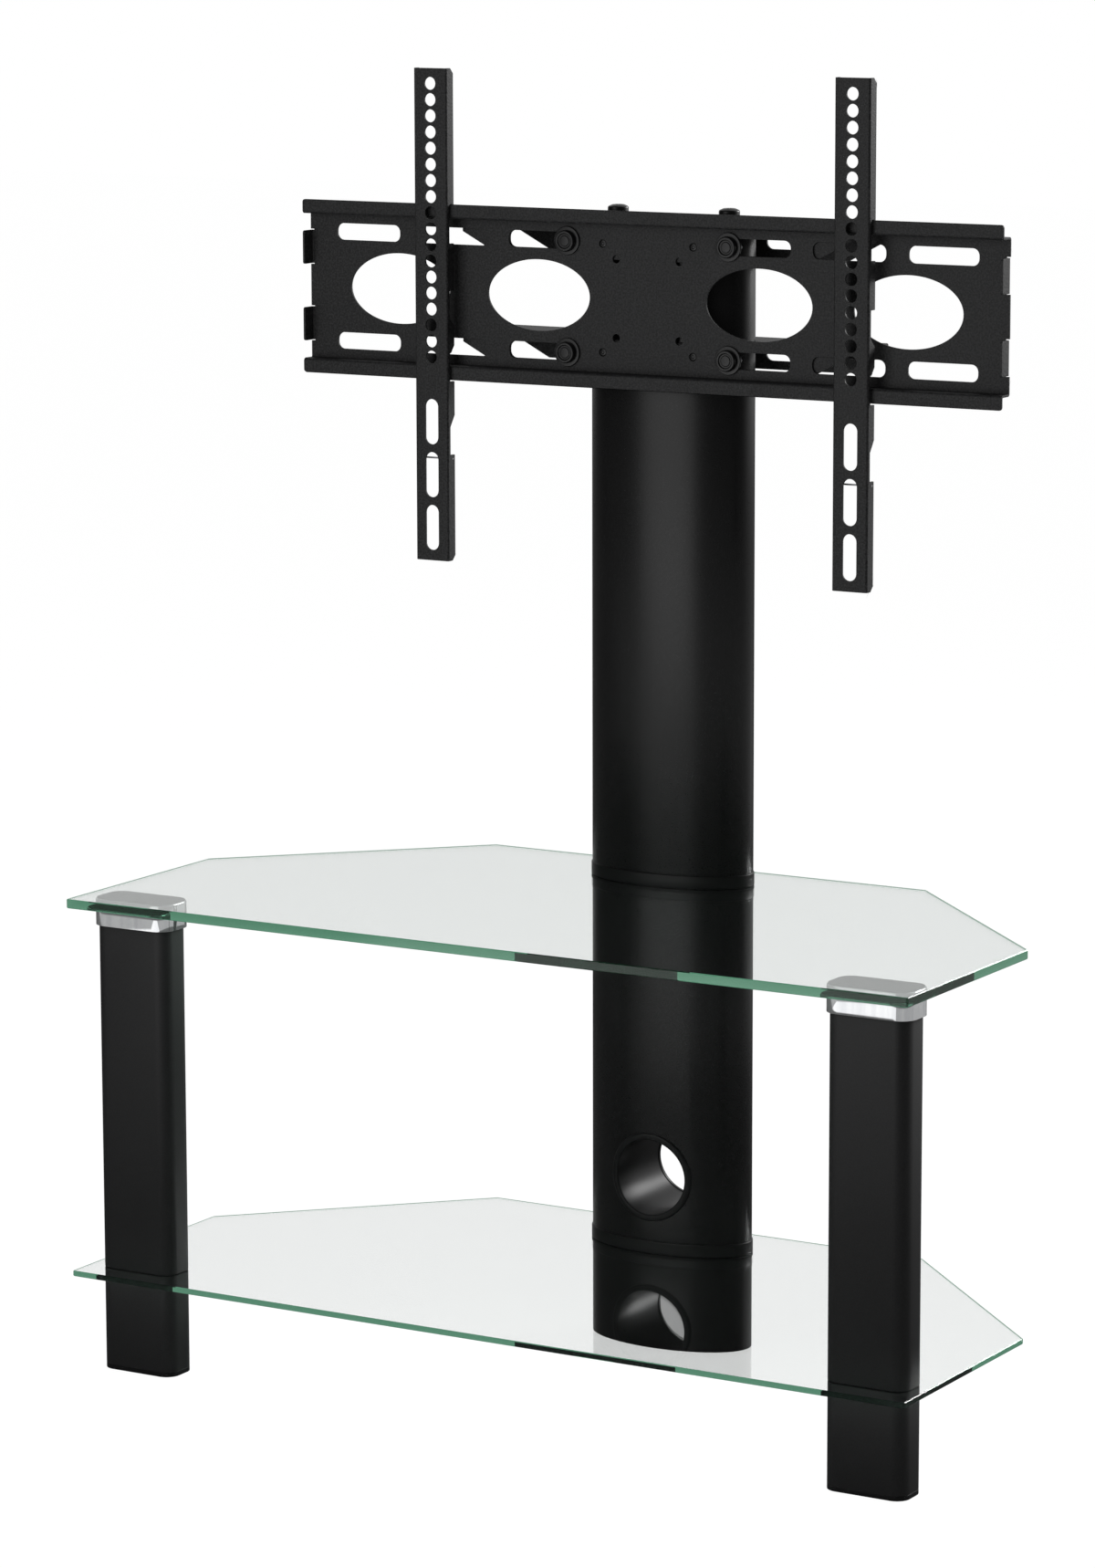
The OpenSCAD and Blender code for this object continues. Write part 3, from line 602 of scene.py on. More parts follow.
# %% Pads
def add_to(group, part):
    """Adds one bmesh to another."""
    mesh = bpy.data.meshes.new("part")
    part.to_mesh(mesh)
    part.free()
    group.from_mesh(mesh)
    bpy.data.meshes.remove(mesh)


pads = bmesh.new()
pad_w, pad_d = cap.x - 2 * cap_roll, cap.y - 2 * cap_roll
glass_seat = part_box("cap_pads")[1].z
for side in sides:
    pad = flat_face(bmesh.new(), block(pad_w, pad_d, leg_r), 10)
    add_to(pads, at_leg(pull_up(pad, glass_seat - roof_gap, glass_seat - roof_gap / 10), side))
dress(as_object(pads, "cap_pads_pair"), "cap_pads")

# %% [markdown]
# ## The oval column
# Every piece of the column has the same oval section, so each is turned on one lathe: a profile
# of distances from the column's skin is spun into a round ring, and the ring is then pressed
# into an oval, in a way that keeps the distance from the skin the same in front and at the side.
# The lowest tube ends just above the floor, and the top one a little below the plate's edge.

# %% A lathe that turns ovals
def turn(bm, angle, axis):
    """Turns a whole bmesh round an axis through the origin."""
    bmesh.ops.rotate(bm, verts=bm.verts, matrix=Matrix.Rotation(angle, 3, axis))


def spun(profile, steps, corner_steps=3):
    """Spins (radius, height, corner radius) points round Z. Points on the axis close the ends."""
    bm = flat_face(bmesh.new(), profile, corner_steps)
    bmesh.ops.delete(bm, geom=bm.faces[:], context="FACES_ONLY")
    on_axis = [e for e in bm.edges if all(abs(v.co.x) < same_point for v in e.verts)]
    bmesh.ops.delete(bm, geom=on_axis, context="EDGES")
    turn(bm, pi / 2, "X")
    bmesh.ops.spin(
        bm, geom=bm.verts[:] + bm.edges[:], cent=(0, 0, 0), axis=(0, 0, 1), angle=2 * pi,
        steps=steps, use_merge=True
    )
    bmesh.ops.remove_doubles(bm, verts=bm.verts, dist=same_point)
    return bm


def column_ring(profile, steps=180):
    """A ring of the column from (distance from the skin, height, corner radius) points."""
    bm = spun([(column_rx + out, z, radius) for out, z, radius in profile], steps)
    for vert in bm.verts:
        reach = hypot(vert.co.x, vert.co.y)
        vert.co.y *= (reach - column_rx + column_ry) / reach
    return shift(bm, y=column_mid.y)


floor_gap = 1 * mm
lid_sunk = 3 * mm
tube_ends = {
    "column_lower_tube": (floor_gap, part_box("column_lower_tube")[1].z),
    "column_middle_tube": [corner.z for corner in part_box("column_middle_tube")],
    "column_upper_tube": (
        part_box("column_upper_tube")[0].z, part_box("column_upper_tube")[1].z - lid_sunk
    )
}
tubes = {}
for node, (bottom, top) in tube_ends.items():
    tubes[node] = as_object(column_ring([
        (0, bottom, soft_edge), (0, top, soft_edge),
        (-column_wall, top, soft_edge), (-column_wall, bottom, soft_edge)
    ]), node + "_skin")
print("tubes:", sorted(tubes))

# %% [markdown]
# ## The cable hole
# The middle tube has a round hole for cables, front and back. The hole is drilled with a boolean,
# which meets the curved skin exactly. A moulded liner lines it. Its rim is turned round the
# hole's own axis and then bent to the column: each point moves back by as much as the oval skin
# lies behind its front line there.

# %% Drilled tube and its liner
hole_centre = middle("cable_liner")
drill_r = 36.95 * mm
bore_r = 33.2 * mm
throat_r = 32.6 * mm
throat_t = 2.5 * mm
rim_spread = 0.6 * mm
rim_r = extent("cable_liner").x / 2 + rim_spread
rim_proud = 2.2 * mm
drill = bmesh.new()
bmesh.ops.create_cone(
    drill, cap_ends=True, segments=96, radius1=drill_r, radius2=drill_r, depth=4 * column_ry,
    matrix=Matrix.Translation((0, column_mid.y, hole_centre.z)) @ Matrix.Rotation(pi / 2, 4, "X")
)
cut(tubes["column_middle_tube"], as_object(drill, "drill"))
for node, tube in tubes.items():
    dress(tube, node, crease=40)


def sag(x):
    """How far the oval skin lies behind its front line, x from the middle."""
    return column_ry * (1 - sqrt(1 - (x / column_rx) ** 2))


def bent_rim(profile, name, node):
    """Turns (radius, place along the hole, corner radius) points and bends both ends to the skin."""
    bm = spun(profile, 128, 4)
    turn(bm, -pi / 2, "X")
    for vert in bm.verts:
        vert.co.y -= sag(vert.co.x) * max(-1, min(1, vert.co.y / column_ry))
    return dress(as_object(shift(bm, y=column_mid.y, z=hole_centre.z), name), node)


rim_round = 1.8 * mm
throat_round = 0.5 * mm
sleeve_r = drill_r - fit_gap
bent_rim([
    (bore_r, column_ry, 0), (bore_r, -column_ry - rim_proud, rim_round),
    (rim_r, -column_ry - rim_proud, rim_round), (rim_r, -column_ry, 0),
    (sleeve_r, -column_ry, 0), (sleeve_r, column_ry, 0)
], "cable_hole_liner", "cable_liner")
bent_rim([
    (throat_r, column_ry - throat_t, throat_round), (bore_r, column_ry - throat_t, 0),
    (bore_r, column_ry, 0), (rim_r, column_ry, 0),
    (rim_r, column_ry + rim_proud, rim_round), (throat_r, column_ry + rim_proud, rim_round)
], "cable_hole_ring", "liner_ring")

# %% [markdown]
# ## Collars, seat rings and lid
# Where the column passes a shelf, a moulded ring lies under the glass and a taller collar stands
# on it. Both hide the tubes' ends and have a spigot that slips inside the next tube. The lid is
# a flat oval plate with a spigot, screwed down from above.

# %% Rings of the column
ring_wall = 3 * mm
spigot_h = 12 * mm
collar_round = 1.0 * mm
collar_foot = 0.2 * mm
seat_round = 0.4 * mm
ring_proud = extent("lower_collar").x / 2 - column_rx
spigot = -column_wall - fit_gap
hub = -glass_bearing - ring_wall
for level, glass in (("lower", "lower_shelf"), ("upper", "top_shelf")):
    low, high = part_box(level + "_collar")
    top = high.z - spigot_h
    collar = column_ring([
        (ring_proud, low.z, collar_foot), (ring_proud, top, collar_round),
        (spigot, top, 0), (spigot, high.z, 0),
        (spigot - ring_wall, high.z, 0), (spigot - ring_wall, top, 0), (hub, top, 0), (hub, low.z, 0)
    ])
    dress(as_object(collar, level + "_collar_ring"), level + "_collar")
    low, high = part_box(level + "_seat_ring")
    base = low.z + spigot_h
    under_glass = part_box(glass)[0].z
    seat = column_ring([
        (ring_proud, base, seat_round), (ring_proud, under_glass, seat_round),
        (-glass_bearing - fit_gap, under_glass, 0), (-glass_bearing - fit_gap, high.z, 0),
        (hub, high.z, 0), (hub, base, 0), (spigot - ring_wall, base, 0), (spigot - ring_wall, low.z, 0),
        (spigot, low.z, 0), (spigot, base, 0)
    ])
    dress(as_object(seat, level + "_seat"), level + "_seat_ring")

# %% Lid of the column
lid_spigot_h = 8 * mm
lid_inset = 20 * mm
lid_edge = 0.6 * mm
low, high = [corner.z - lid_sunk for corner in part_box("column_lid")]
lid = column_ring([
    (-lid_inset, high, 0), (0, high, lid_edge), (0, low + lid_spigot_h, lid_edge / 2),
    (spigot, low + lid_spigot_h, 0), (spigot, low, 0), (-lid_inset, low, 0)
])
oval_slack = 1.01
inner_rx, inner_ry = column_rx - lid_inset, column_ry - lid_inset
inner = [f for f in lid.faces if all(
    hypot(v.co.x / inner_rx, (v.co.y - column_mid.y) / inner_ry) < oval_slack for v in f.verts
)]
bmesh.ops.delete(lid, geom=inner, context="FACES_ONLY")
bmesh.ops.holes_fill(lid, edges=[e for e in lid.edges if e.is_boundary], sides=0)
dress(as_object(lid, "lid"), "column_lid")

# %% [markdown]
# ## Screws on the lid
# Two large pan-headed screws draw the lid, the tubes and the shelves together. The head is turned
# from a profile with a wide round shoulder, and a cross recess is sunk into its crown.

# %% Pan heads with a cross recess
low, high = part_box("top_screws")
tie_rod_r = 5 * mm
screw_x = middle("column_tie_rods").x + extent("column_tie_rods").x / 2 - tie_rod_r
head_r = extent("top_screws").x / 2 - screw_x
thread_r = 3 * mm
crown_r = 0.55 * head_r
crown_round = 2.5 * mm
shoulder_drop, shoulder_round = 1.8 * mm, 1.6 * mm
seat_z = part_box("column_lid")[1].z - lid_sunk
head_h = high.z - seat_z
screws = bmesh.new()
for side in sides:
    screw = spun([
        (0, head_h, 0), (crown_r, head_h, crown_round),
        (head_r, head_h - shoulder_drop, shoulder_round), (head_r, 0, soft_edge),
        (thread_r, 0, 0), (thread_r, low.z - seat_z, 0), (0, low.z - seat_z, 0)
    ], 48, 5)
    add_to(screws, shift(screw, side * screw_x, column_mid.y, seat_z))
screws = as_object(screws, "lid_screws")
recess_w = 2.4 * mm
recess_len = 9.5 * mm
recess_depth = 3.2 * mm
recess_taper = 0.55
size = Matrix.Diagonal((recess_len, recess_w, 2 * recess_depth, 1))
cross = bmesh.new()
for side in sides:
    place = Matrix.Translation((side * screw_x, column_mid.y, high.z))
    for angle in (0, pi / 2):
        turned = place @ Matrix.Rotation(angle, 4, "Z")
        bmesh.ops.create_cube(cross, size=1, matrix=turned @ size)
for side in sides:
    arms = [v for v in cross.verts if v.co.x * side > 0 and v.co.z < high.z]
    centre = Vector((side * screw_x, column_mid.y, high.z - recess_depth))
    bmesh.ops.scale(
        cross, vec=(recess_taper, recess_taper, 1), verts=arms, space=Matrix.Translation(-centre)
    )
cut(screws, as_object(cross, "cross"), crossing=True)
dress(screws, "top_screws", crease=40)

# %% [markdown]
# ## Pressed sheet
# The plate, the rails and the arms are all sheet steel: cut flat, then folded. The model is made
# the same way, because a fold then has the same thickness and the same round corner as the real
# one. The flat pattern lies at the middle of the sheet. To fold it, a bend is first cut into
# narrow strips across its length, and then everything beyond each strip's line turns by a small
# part of the angle. The thickness comes last, from a Solidify modifier, and a Bevel rounds the
# cut edges as the coat of powder does.

# %% Folding
def fold(bm, at, across, axis, angle, bend_r, beyond=lambda point: True, strips=5):
    """Folds a sheet past the line through at; across points into the part that moves."""
    length = abs(angle) * bend_r
    lines = [at + across * (length * (i + 0.5) / strips) for i in range(strips)]
    for line in lines:
        bmesh.ops.bisect_plane(
            bm, geom=bm.verts[:] + bm.edges[:] + bm.faces[:], dist=same_point / 10, plane_co=line,
            plane_no=across
        )
    for line in reversed(lines):
        moved = [
            v for v in bm.verts if (v.co - line).dot(across) > same_point and beyond(v.co)
        ]
        bmesh.ops.rotate(bm, verts=moved, cent=line, matrix=Matrix.Rotation(angle / strips, 3, axis))


coat_edge = 0.25 * mm


def thicken(piece, *nodes):
    """Thickness, soft cut edges and even shading for a folded sheet."""
    wall = piece.modifiers.new("thickness", "SOLIDIFY")
    wall.thickness = sheet
    wall.offset = 0
    wall.use_even_offset = True
    rim = piece.modifiers.new("rim", "BEVEL")
    rim.width = coat_edge
    rim.segments = 2
    rim.limit_method = "ANGLE"
    rim.angle_limit = radians(50)
    rim.use_clamp_overlap = False
    rim.harden_normals = False
    settle(piece)
    even = piece.modifiers.new("even", "WEIGHTED_NORMAL")
    even.keep_sharp = True
    return dress(piece, *nodes, crease=40)


X, Y, Z = Vector((1, 0, 0)), Vector((0, 1, 0)), Vector((0, 0, 1))


def stand_up(bm, y):
    """Stands a flat pattern up, its X across and its Y upwards, at depth y."""
    turn(bm, pi / 2, "X")
    return shift(bm, y=y)


# %% [markdown]
# ## The arms
# An arm is a channel, open to the back. Its two sides have a stepped outline: a deep notch hooks
# over the plate's upper lip, a waist below it saves weight, a second notch clears the lower lip,
# and a last step lies further down. In the flat pattern a point at some depth of a side lies
# further out by the length of the bend, so the outline is written in depths and heights and laid
# out by `spread`. The front has 18 round holes and three long slots for the television's screws.
# A slot's ends are a hair less than half circles, so that each end keeps a short straight side.

# %% Flat pattern of an arm
arm_low, arm_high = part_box("right_arm")
arm_size = arm_high - arm_low
arm_bend = 1.3 * mm
hole_count, hole_r, hole_pitch = 18, 5.5 * mm, 13.75 * mm
slot_count, slot_w, slot_len, slot_pitch = 3, 13 * mm, 39.2 * mm, 45.9 * mm
slot_r = 0.999 * (slot_w / 2)
first_hole = arm_high.z - 13 * mm
first_slot = arm_low.z + 28.6 * mm
plate_mid = middle("mount_plate").z
plate_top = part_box("upper_lip")[1].z
nick, lip_nick = 0.8 * mm, 0.3 * mm
corner_cut = 4.5 * mm
hook_gap, nose_h, nose_back = 0.3 * mm, 9.5 * mm, 2.7 * mm
hook_seat = plate_top + hook_gap
nose_low = hook_seat - nose_h
deep = arm_size.y
nose = deep - nose_back
notch, lip_notch = 4.4 * mm, 6 * mm
hook_foot = plate_mid + 41.8 * mm
waist_top, waist_low, waist_end = [plate_mid + z * mm for z in (1.5, -22.4, -28.9)]
lip_start, lip_top, lip_low = [plate_mid + z * mm for z in (-45.7, -52.1, -76.6)]
step_start, step_top, step_low = [plate_mid + z * mm for z in (-105.9, -115.9, -140)]


def spread(depth):
    """Distance from the pattern's middle line of a point at this depth of a side."""
    return arm_size.x / 2 - sheet / 2 - arm_bend + arm_bend * pi / 2 + depth - sheet / 2 - arm_bend


side_steps = [
    (deep - corner_cut, arm_high.z, nick), (deep, arm_high.z - corner_cut, nick),
    (deep, nose_low, nick), (nose, nose_low, nick), (nose, hook_seat, nick), (notch, hook_seat, nick),
    (notch, hook_foot, nick), (deep, hook_foot, nick),
    (deep, waist_top, nick), (notch, waist_top, nick),
    (notch, waist_low, nick), (deep, waist_end, nick),
    (deep, lip_start, nick), (lip_notch, lip_top, lip_nick), (notch, lip_top, lip_nick),
    (notch, lip_low, nick), (deep, lip_low, nick),
    (deep, step_start, nick), (notch, step_top, nick), (notch, step_low, nick), (deep, step_low, nick),
    (deep, arm_low.z + corner_cut, nick), (deep - corner_cut, arm_low.z, nick)
]
right_edge = [(spread(depth), z, radius) for depth, z, radius in side_steps]
left_edge = [(-x, z, radius) for x, z, radius in reversed(right_edge)]
holes = [(0, first_hole - i * hole_pitch, hole_r, hole_r) for i in range(hole_count)]
for i in range(slot_count):
    z = first_slot + i * slot_pitch
    holes.append([(x, y + z, radius) for x, y, radius in block(slot_w, slot_len, slot_r)])
print("arm pattern:", len(right_edge) * 2, "corners,", len(holes), "openings")

# %% Fold the arms
for hand in ("left", "right"):
    channel = stand_up(sheet_face(left_edge + right_edge, holes, 8), arm_low.y + sheet / 2)
    for side in sides:
        start = X * side * (arm_size.x / 2 - sheet / 2 - arm_bend) + Y * (arm_low.y + sheet / 2)
        fold(channel, start, X * side, "Z", side * pi / 2, arm_bend)
    thicken(as_object(shift(channel, middle(hand + "_arm").x), hand + "_channel"), hand + "_arm")

# %% [markdown]
# ## The mount plate
# The plate is one pressing too. Its upper and lower edges are folded forward into a shelf and
# then up or down into a lip, which the arms hang on, and two tabs at each end are folded forward
# to stop them.

# %% Flat pattern of the plate
plate_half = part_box("mount_plate")[1].x
plate_corner_r = 2.5 * mm
lip_h = 12.3 * mm
plate_bend = 1.8 * mm
web_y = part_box("mount_plate")[1].y - sheet / 2
lip_y = middle("upper_lip").y
shelf_z = plate_top - lip_h + sheet / 2 - plate_mid
shelf_len = web_y - lip_y - 2 * plate_bend
first_bend = shelf_z - plate_bend
bend_len = plate_bend * pi / 2
second_bend = first_bend + bend_len + shelf_len
pattern_top = second_bend + bend_len + plate_top - plate_mid - shelf_z - plate_bend
tab_root = plate_half - sheet / 2 - plate_bend
tab_end = tab_root + bend_len + web_y - lip_y + sheet / 2 - plate_bend
tab_z, tab_h, tab_r = 33.4 * mm, 29 * mm, 2 * mm
tab_top, tab_low = tab_z + tab_h / 2, tab_z - tab_h / 2
relief = 0.8 * mm
relief_r = 0.25 * mm
nick_x = tab_root - relief
upper_edge = [
    (plate_half, pattern_top, plate_corner_r), (plate_half, tab_top + relief, 0),
    (nick_x, tab_top + relief, relief_r), (nick_x, tab_top, relief_r),
    (tab_end, tab_top, tab_r), (tab_end, tab_low, tab_r),
    (nick_x, tab_low, relief_r), (nick_x, tab_low - relief, relief_r),
    (plate_half, tab_low - relief, 0)
]
half_edge = upper_edge + [(x, -z, radius) for x, z, radius in reversed(upper_edge)]
outline = [(-x, z, radius) for x, z, radius in reversed(half_edge)] + half_edge
print("plate pattern:", len(outline), "corners")

# %% [markdown]
# Slots in two rows take the wall screws or the column's bolts, and four oval windows save weight.
# Each opening is written once and mirrored, as distances from the plate's middle.

# %% Openings of the plate
window_x = (106.7 * mm, 246 * mm)
window_half = (50.3 * mm, 30.5 * mm)
rail_screw_x, rail_screw_z = 43.7 * mm, 46 * mm
spare_hole_x, spare_hole_z = 30.5 * mm, 33.4 * mm
plate_hole_r = 3.5 * mm
long_slot_z, long_slot_half, long_slot_r = 47.4 * mm, 7.2 * mm, 6 * mm
long_slot_spans = [(68.2 * mm, 136.4 * mm), (157.2 * mm, 225.2 * mm), (246 * mm, 310.2 * mm)]


def long_slot(side, span, level):
    """Corners of a lying slot that spans two distances from the middle, on one side."""
    near, far = sorted((side * span[0], side * span[1]))
    low, high = level - long_slot_half, level + long_slot_half
    return [(x, z, long_slot_r) for x, z in ((near, low), (far, low), (far, high), (near, high))]


openings = []
for x_side in sides:
    openings += [(x_side * x, 0, *window_half) for x in window_x]
    for z_side in sides:
        for x, z in ((rail_screw_x, rail_screw_z), (spare_hole_x, spare_hole_z)):
            openings.append((x_side * x, z_side * z, plate_hole_r, plate_hole_r))
        openings += [long_slot(x_side, span, z_side * long_slot_z) for span in long_slot_spans]
print("plate pattern:", len(openings), "openings")

# %% [markdown]
# The line of the second bend is folded first, while it still lies in the flat. The first bend
# then carries it round. Only the points at a tab's height fold at the ends.

# %% Fold the plate
plate = stand_up(sheet_face(outline, openings, 6), web_y)
for z_side in sides:
    up = Z * z_side
    fold(plate, up * second_bend + Y * web_y, up, "X", -z_side * pi / 2, plate_bend)
    fold(plate, up * first_bend + Y * web_y, up, "X", z_side * pi / 2, plate_bend)
for x_side in sides:
    fold(
        plate, X * x_side * tab_root + Y * web_y, X * x_side, "Z", -x_side * pi / 2, plate_bend,
        beyond=lambda point: abs(abs(point.z) - tab_z) < tab_h / 2 + same_level
    )
plate_nodes = ["mount_plate", "upper_flange", "lower_flange", "upper_lip", "lower_lip"]
thicken(as_object(shift(plate, z=plate_mid), "pressed_plate"), *plate_nodes)

# %% [markdown]
# ## The rails
# Behind the plate two channels hold the column between their walls. They are folded down from
# one strip, in front and behind, and an oval in the middle of the strip lets the column through.

# %% Rails
rail_w = extent("upper_rail").x
rail_drop = extent("upper_rail").z
rail_bend = 1.3 * mm
corner_drop, corner_run = 19 * mm, 36.9 * mm
rail_end_r, rail_corner_r = 1 * mm, 2 * mm
rail_hole_r = 2.1 * mm
oval_land = 0.05 * mm
for node, up in (("upper_rail", 1), ("lower_rail", -1)):
    low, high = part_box(node)
    strip_half = (high.y - low.y) / 2 - sheet / 2 - rail_bend
    wall_start = strip_half + rail_bend * pi / 2
    reach = wall_start + rail_drop - sheet / 2 - rail_bend
    front_corners = [
        (rail_w / 2, reach - corner_drop, rail_end_r), (rail_w / 2 - corner_run, reach, rail_corner_r),
        (corner_run - rail_w / 2, reach, rail_corner_r), (-rail_w / 2, reach - corner_drop, rail_end_r)
    ]
    rail_corners = front_corners + [(-x, -y, radius) for x, y, radius in front_corners]
    rail_holes = [(0, 0, column_rx + fit_gap, strip_half - oval_land)]
    slot_at = reach - (plate_mid + up * long_slot_z - low.z)
    screw_at = reach - (plate_mid + up * rail_screw_z - low.z)
    for wall in sides:
        for x_side in sides:
            rail_holes.append(long_slot(x_side, long_slot_spans[0], wall * slot_at))
            rail_holes.append((x_side * rail_screw_x, wall * screw_at, rail_hole_r, rail_hole_r))
    rail = shift(sheet_face(rail_corners, rail_holes, 6), z=high.z - sheet / 2)
    for wall in sides:
        start = Y * wall * strip_half + Z * (high.z - sheet / 2)
        fold(rail, start, Y * wall, "X", -wall * pi / 2, rail_bend)
    thicken(as_object(shift(rail, y=(low.y + high.y) / 2), node + "_channel"), node)

# %% [markdown]
# ## Bolts, washers and small screws
# The bolts' heads are dished pans with a raised middle, on wide washers. They and the small
# screws are turned from profiles and laid along Y, and one mesh holds each set. The face of a
# head is written as rows in millimetres: radius, depth behind the front, round of the corner.

# %% Turned fasteners
def laid_along_y(profile, offset, name, node, steps=64):
    """Spins (radius, depth, corner radius) points and lays four round the plate's middle."""
    group = bmesh.new()
    for x_side in sides:
        for z_side in sides:
            turned = spun(profile, steps, 4)
            turn(turned, -pi / 2, "X")
            add_to(group, shift(turned, x_side * offset[0], 0, plate_mid + z_side * offset[1]))
    return dress(as_object(group, name), node)


def head_face(rows, front):
    """Profile points of a head's face from its rows in millimetres."""
    return [(radius * mm, front + depth * mm, corner * mm) for radius, depth, corner in rows]


head_edge = 0.2 * mm

# %% Plate bolts and washers
bolt_face = [(0, 0.5, 0), (4.2, 0.5, 0.4), (4.8, 1.2, 0.2), (5.9, 1.2, 0.3), (6.6, 0, 0.5)]
bolt_bevel, bolt_bevel_depth, bolt_round, bolt_tip = 0.6 * mm, 2.2 * mm, 0.8 * mm, 0.5 * mm
washer_round = 0.5 * mm
washer_play = 0.1 * mm
bolt_low, bolt_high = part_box("plate_bolts")
washer_low, washer_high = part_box("plate_washers")
washer_r = extent("plate_washers").z / 2 - long_slot_z
bolt_head_r = extent("plate_bolts").z / 2 - long_slot_z
bolt_at = (extent("plate_washers").x / 2 - washer_r, long_slot_z)
bolt_thread_r = 4 * mm
washer_bore = bolt_thread_r + washer_play
laid_along_y(head_face(bolt_face, bolt_low.y) + [
    (bolt_head_r - bolt_bevel, bolt_low.y, bolt_round),
    (bolt_head_r, bolt_low.y + bolt_bevel_depth, bolt_round), (bolt_head_r, washer_low.y, head_edge),
    (bolt_thread_r, washer_low.y, 0), (bolt_thread_r, bolt_high.y, bolt_tip), (0, bolt_high.y, 0)
], bolt_at, "dished_bolts", "plate_bolts")
laid_along_y([
    (washer_bore, washer_low.y, head_edge), (washer_r, washer_low.y, washer_round),
    (washer_r, washer_high.y, head_edge), (washer_bore, washer_high.y, head_edge)
], bolt_at, "wide_washers", "plate_washers")

# %% [markdown]
# The small screws that hold the rails show only as round heads in the plate's holes.

# %% Small screws of the rails
small_face = [(0, 0.9, 0), (1.1, 0.9, 0.2), (1.5, 0.2, 0.3), (3.2, 0.6, 0.5)]
small_head_r, small_thread_r = 3.2 * mm, 2 * mm
small_low, small_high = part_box("rail_screws")
laid_along_y(head_face(small_face, small_low.y) + [
    (small_head_r, small_low.y + sheet, 0), (small_thread_r, small_low.y + sheet, 0),
    (small_thread_r, small_high.y, 0), (0, small_high.y, 0)
], (rail_screw_x, rail_screw_z), "small_screws", "rail_screws", 32)

# %% [markdown]
# ## What stays as it was built
# Hidden and simple pieces keep the construction model's own solids: the tie rods, nuts, end
# plugs, cross pins, glides and the base plate. They only get their finish.

# %% Finish the rest
for node, solid in frame["nodes"].items():
    for entry in solid.material_slots:
        entry.material = finishes[slot_of[node]]
kept = sorted(node for node, solid in frame["nodes"].items() if not solid.hide_render)
print("kept solids:", kept)

# %% [markdown]
# ## Floor, light and surroundings
# The photograph is a cut-out on white. The floor and the sky are white to the camera and to light
# that comes through glass. Reflections see a photographer's dim room instead, a little brighter
# behind the stand, which keeps the black coats black. A white card with grey ends lies on the
# floor of that room in front, where the polished caps mirror it and the dull coats hardly do.

# %% White floor
def stage_plane(name, half_size, height):
    """A level plane that belongs to the stage and not to the part."""
    bm = bmesh.new()
    bmesh.ops.create_grid(bm, x_segments=1, y_segments=1, size=half_size)
    plane = as_object(shift(bm, z=height), name)
    return plane


def rays(flow):
    """Rays that should see white, mirrored rays, and the soft light from diffuse surfaces."""
    kinds = ("Is Camera Ray", "Is Transmission Ray", "Glossy Depth", "Is Diffuse Ray")
    camera_ray, glass_ray, mirrors, diffuse = [flow.add("LightPath", out=kind) for kind in kinds]
    direct = mirrors.maths("LESS_THAN", mirrors, 0.5)
    white = (camera_ray + glass_ray * (1 - camera_ray)) * direct
    return white, (1 - direct) * (1 - diffuse), diffuse


floor_finish = Finish("floor", Roughness=0.9, Base_Color=(0.8, 0.8, 0.8, 1))
flow = floor_finish.root
seen, glossy, _ = rays(flow)
away = flow.add("VectorMath", {0: floor_finish.point}, {"operation": "LENGTH"}, out="Value")
across, along = [flow.add("SeparateXYZ", {0: floor_finish.point}, out=axis) for axis in "XY"]
card_near, card_far = (1.5, 1.6), (3.4, 3.8)
card_back, card_end = (-1.4, -0.8), (0.2, 0.7)
white_left, white_right = (-1.26, -1.16), (0.25, 0.35)
floor_glow, grey_glow, white_glow = 0.09, 0.33, 0.75
in_front = 1 - along.ramp(*card_back)
left_behind = along.ramp(*card_back) * (1 - across.ramp(*card_end))
card = away.ramp(*card_near) * (1 - away.ramp(*card_far)) * (1 - left_behind)
white_part = across.ramp(*white_left) * (1 - across.ramp(*white_right)) * in_front
mirrored = floor_glow + card * (grey_glow + white_glow * white_part)
print("the card lies from", card_near[0], "to", card_far[1], "m in front of the stand")

# %% [markdown]
# The floor's own glow is mixed with a little real light, so that the stand keeps a faint shadow.

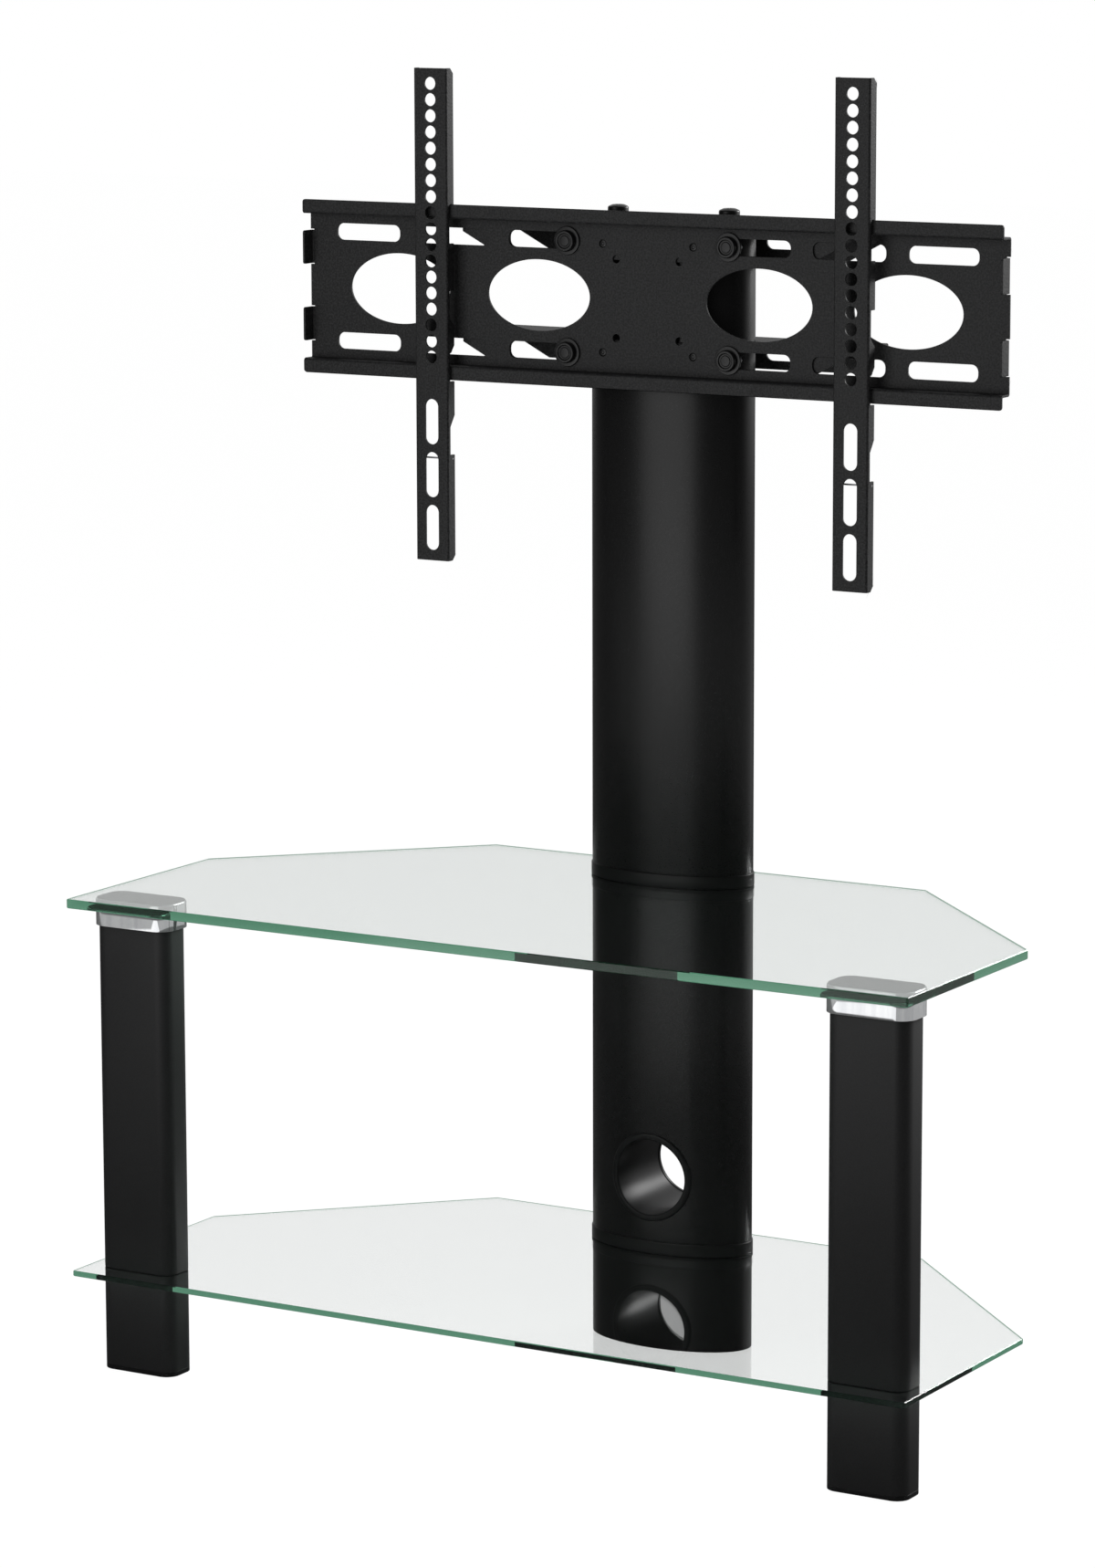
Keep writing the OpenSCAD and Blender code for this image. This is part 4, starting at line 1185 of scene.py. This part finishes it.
# %% Mix of glow and real light
own_glow = 0.88
unshaded = 0.985
floor_half, floor_drop = 14, 0.5 * mm
glow = flow.add("Emission", {
    "Color": (1, 1, 1, 1), "Strength": seen * (unshaded / own_glow) + glossy * mirrored
})
soft = flow.add("MixShader", {0: seen * own_glow + glossy, 1: floor_finish.lit, 2: glow})
flow.tree.links.new(soft.socket, floor_finish.output.inputs["Surface"])
floor = stage_plane("floor", floor_half, -floor_drop)
floor.data.materials.append(finishes["floor"])
print("floor:", 2 * floor_half, "m wide")

# %% White sky, dim to mirrors
world = bpy.data.worlds.new("studio")
world.use_nodes = True
scene.world = world
sky = Flow(world.node_tree)
seen, glossy, diffuse = rays(sky)
direction = sky.add("TexCoord", out="Generated")
towards_back = sky.add("SeparateXYZ", {0: direction}, out="Y").ramp(0.1, 0.6)
room_glow, back_glow, fill_glow = 0.05, 0.67, 0.1
strength = seen + glossy * (room_glow + back_glow * towards_back) + diffuse * fill_glow
background = world.node_tree.nodes["Background"]
background.inputs["Color"].default_value = (1, 1, 1, 1)
world.node_tree.links.new(strength.socket, background.inputs["Strength"])
print("sky:", world.name)

# %% [markdown]
# ## Lamps
# One large soft lamp stands in front, a little to the left, and makes the light band down the
# column. A second stands behind the stand, at the right. Only the coarse coat of the bracket
# scatters its light towards the camera, so the arms' sides turn lighter than their fronts. No
# light comes from above or below, which keeps the folds of the plate's lips dark.

# %% Lamps
def soft_lamp(name, azimuth, distance, height, width, tall, brightness):
    """An upright area lamp that faces the stand; brightness is its glow, with 1 as white."""
    data = bpy.data.lights.new(name, "AREA")
    data.shape = "RECTANGLE"
    data.size = width
    data.size_y = tall
    data.energy = brightness * pi * width * tall
    lamp = bpy.data.objects.new(name, data)
    angle = radians(azimuth)
    lamp.location = (distance * sin(angle), -distance * cos(angle), height)
    aim = Vector((0, 0, height)) - lamp.location
    lamp.rotation_euler = aim.to_track_quat("-Z", "Y").to_euler()
    scene.collection.objects.link(lamp)
    print(name, "lamp:", round(data.energy, 1), "W")


soft_lamp("key", azimuth=-15, distance=1.6, height=1.16, width=1.3, tall=1.76, brightness=1.0)
soft_lamp("rim", azimuth=150, distance=3.2, height=1.9, width=1.6, tall=1.2, brightness=10.5)
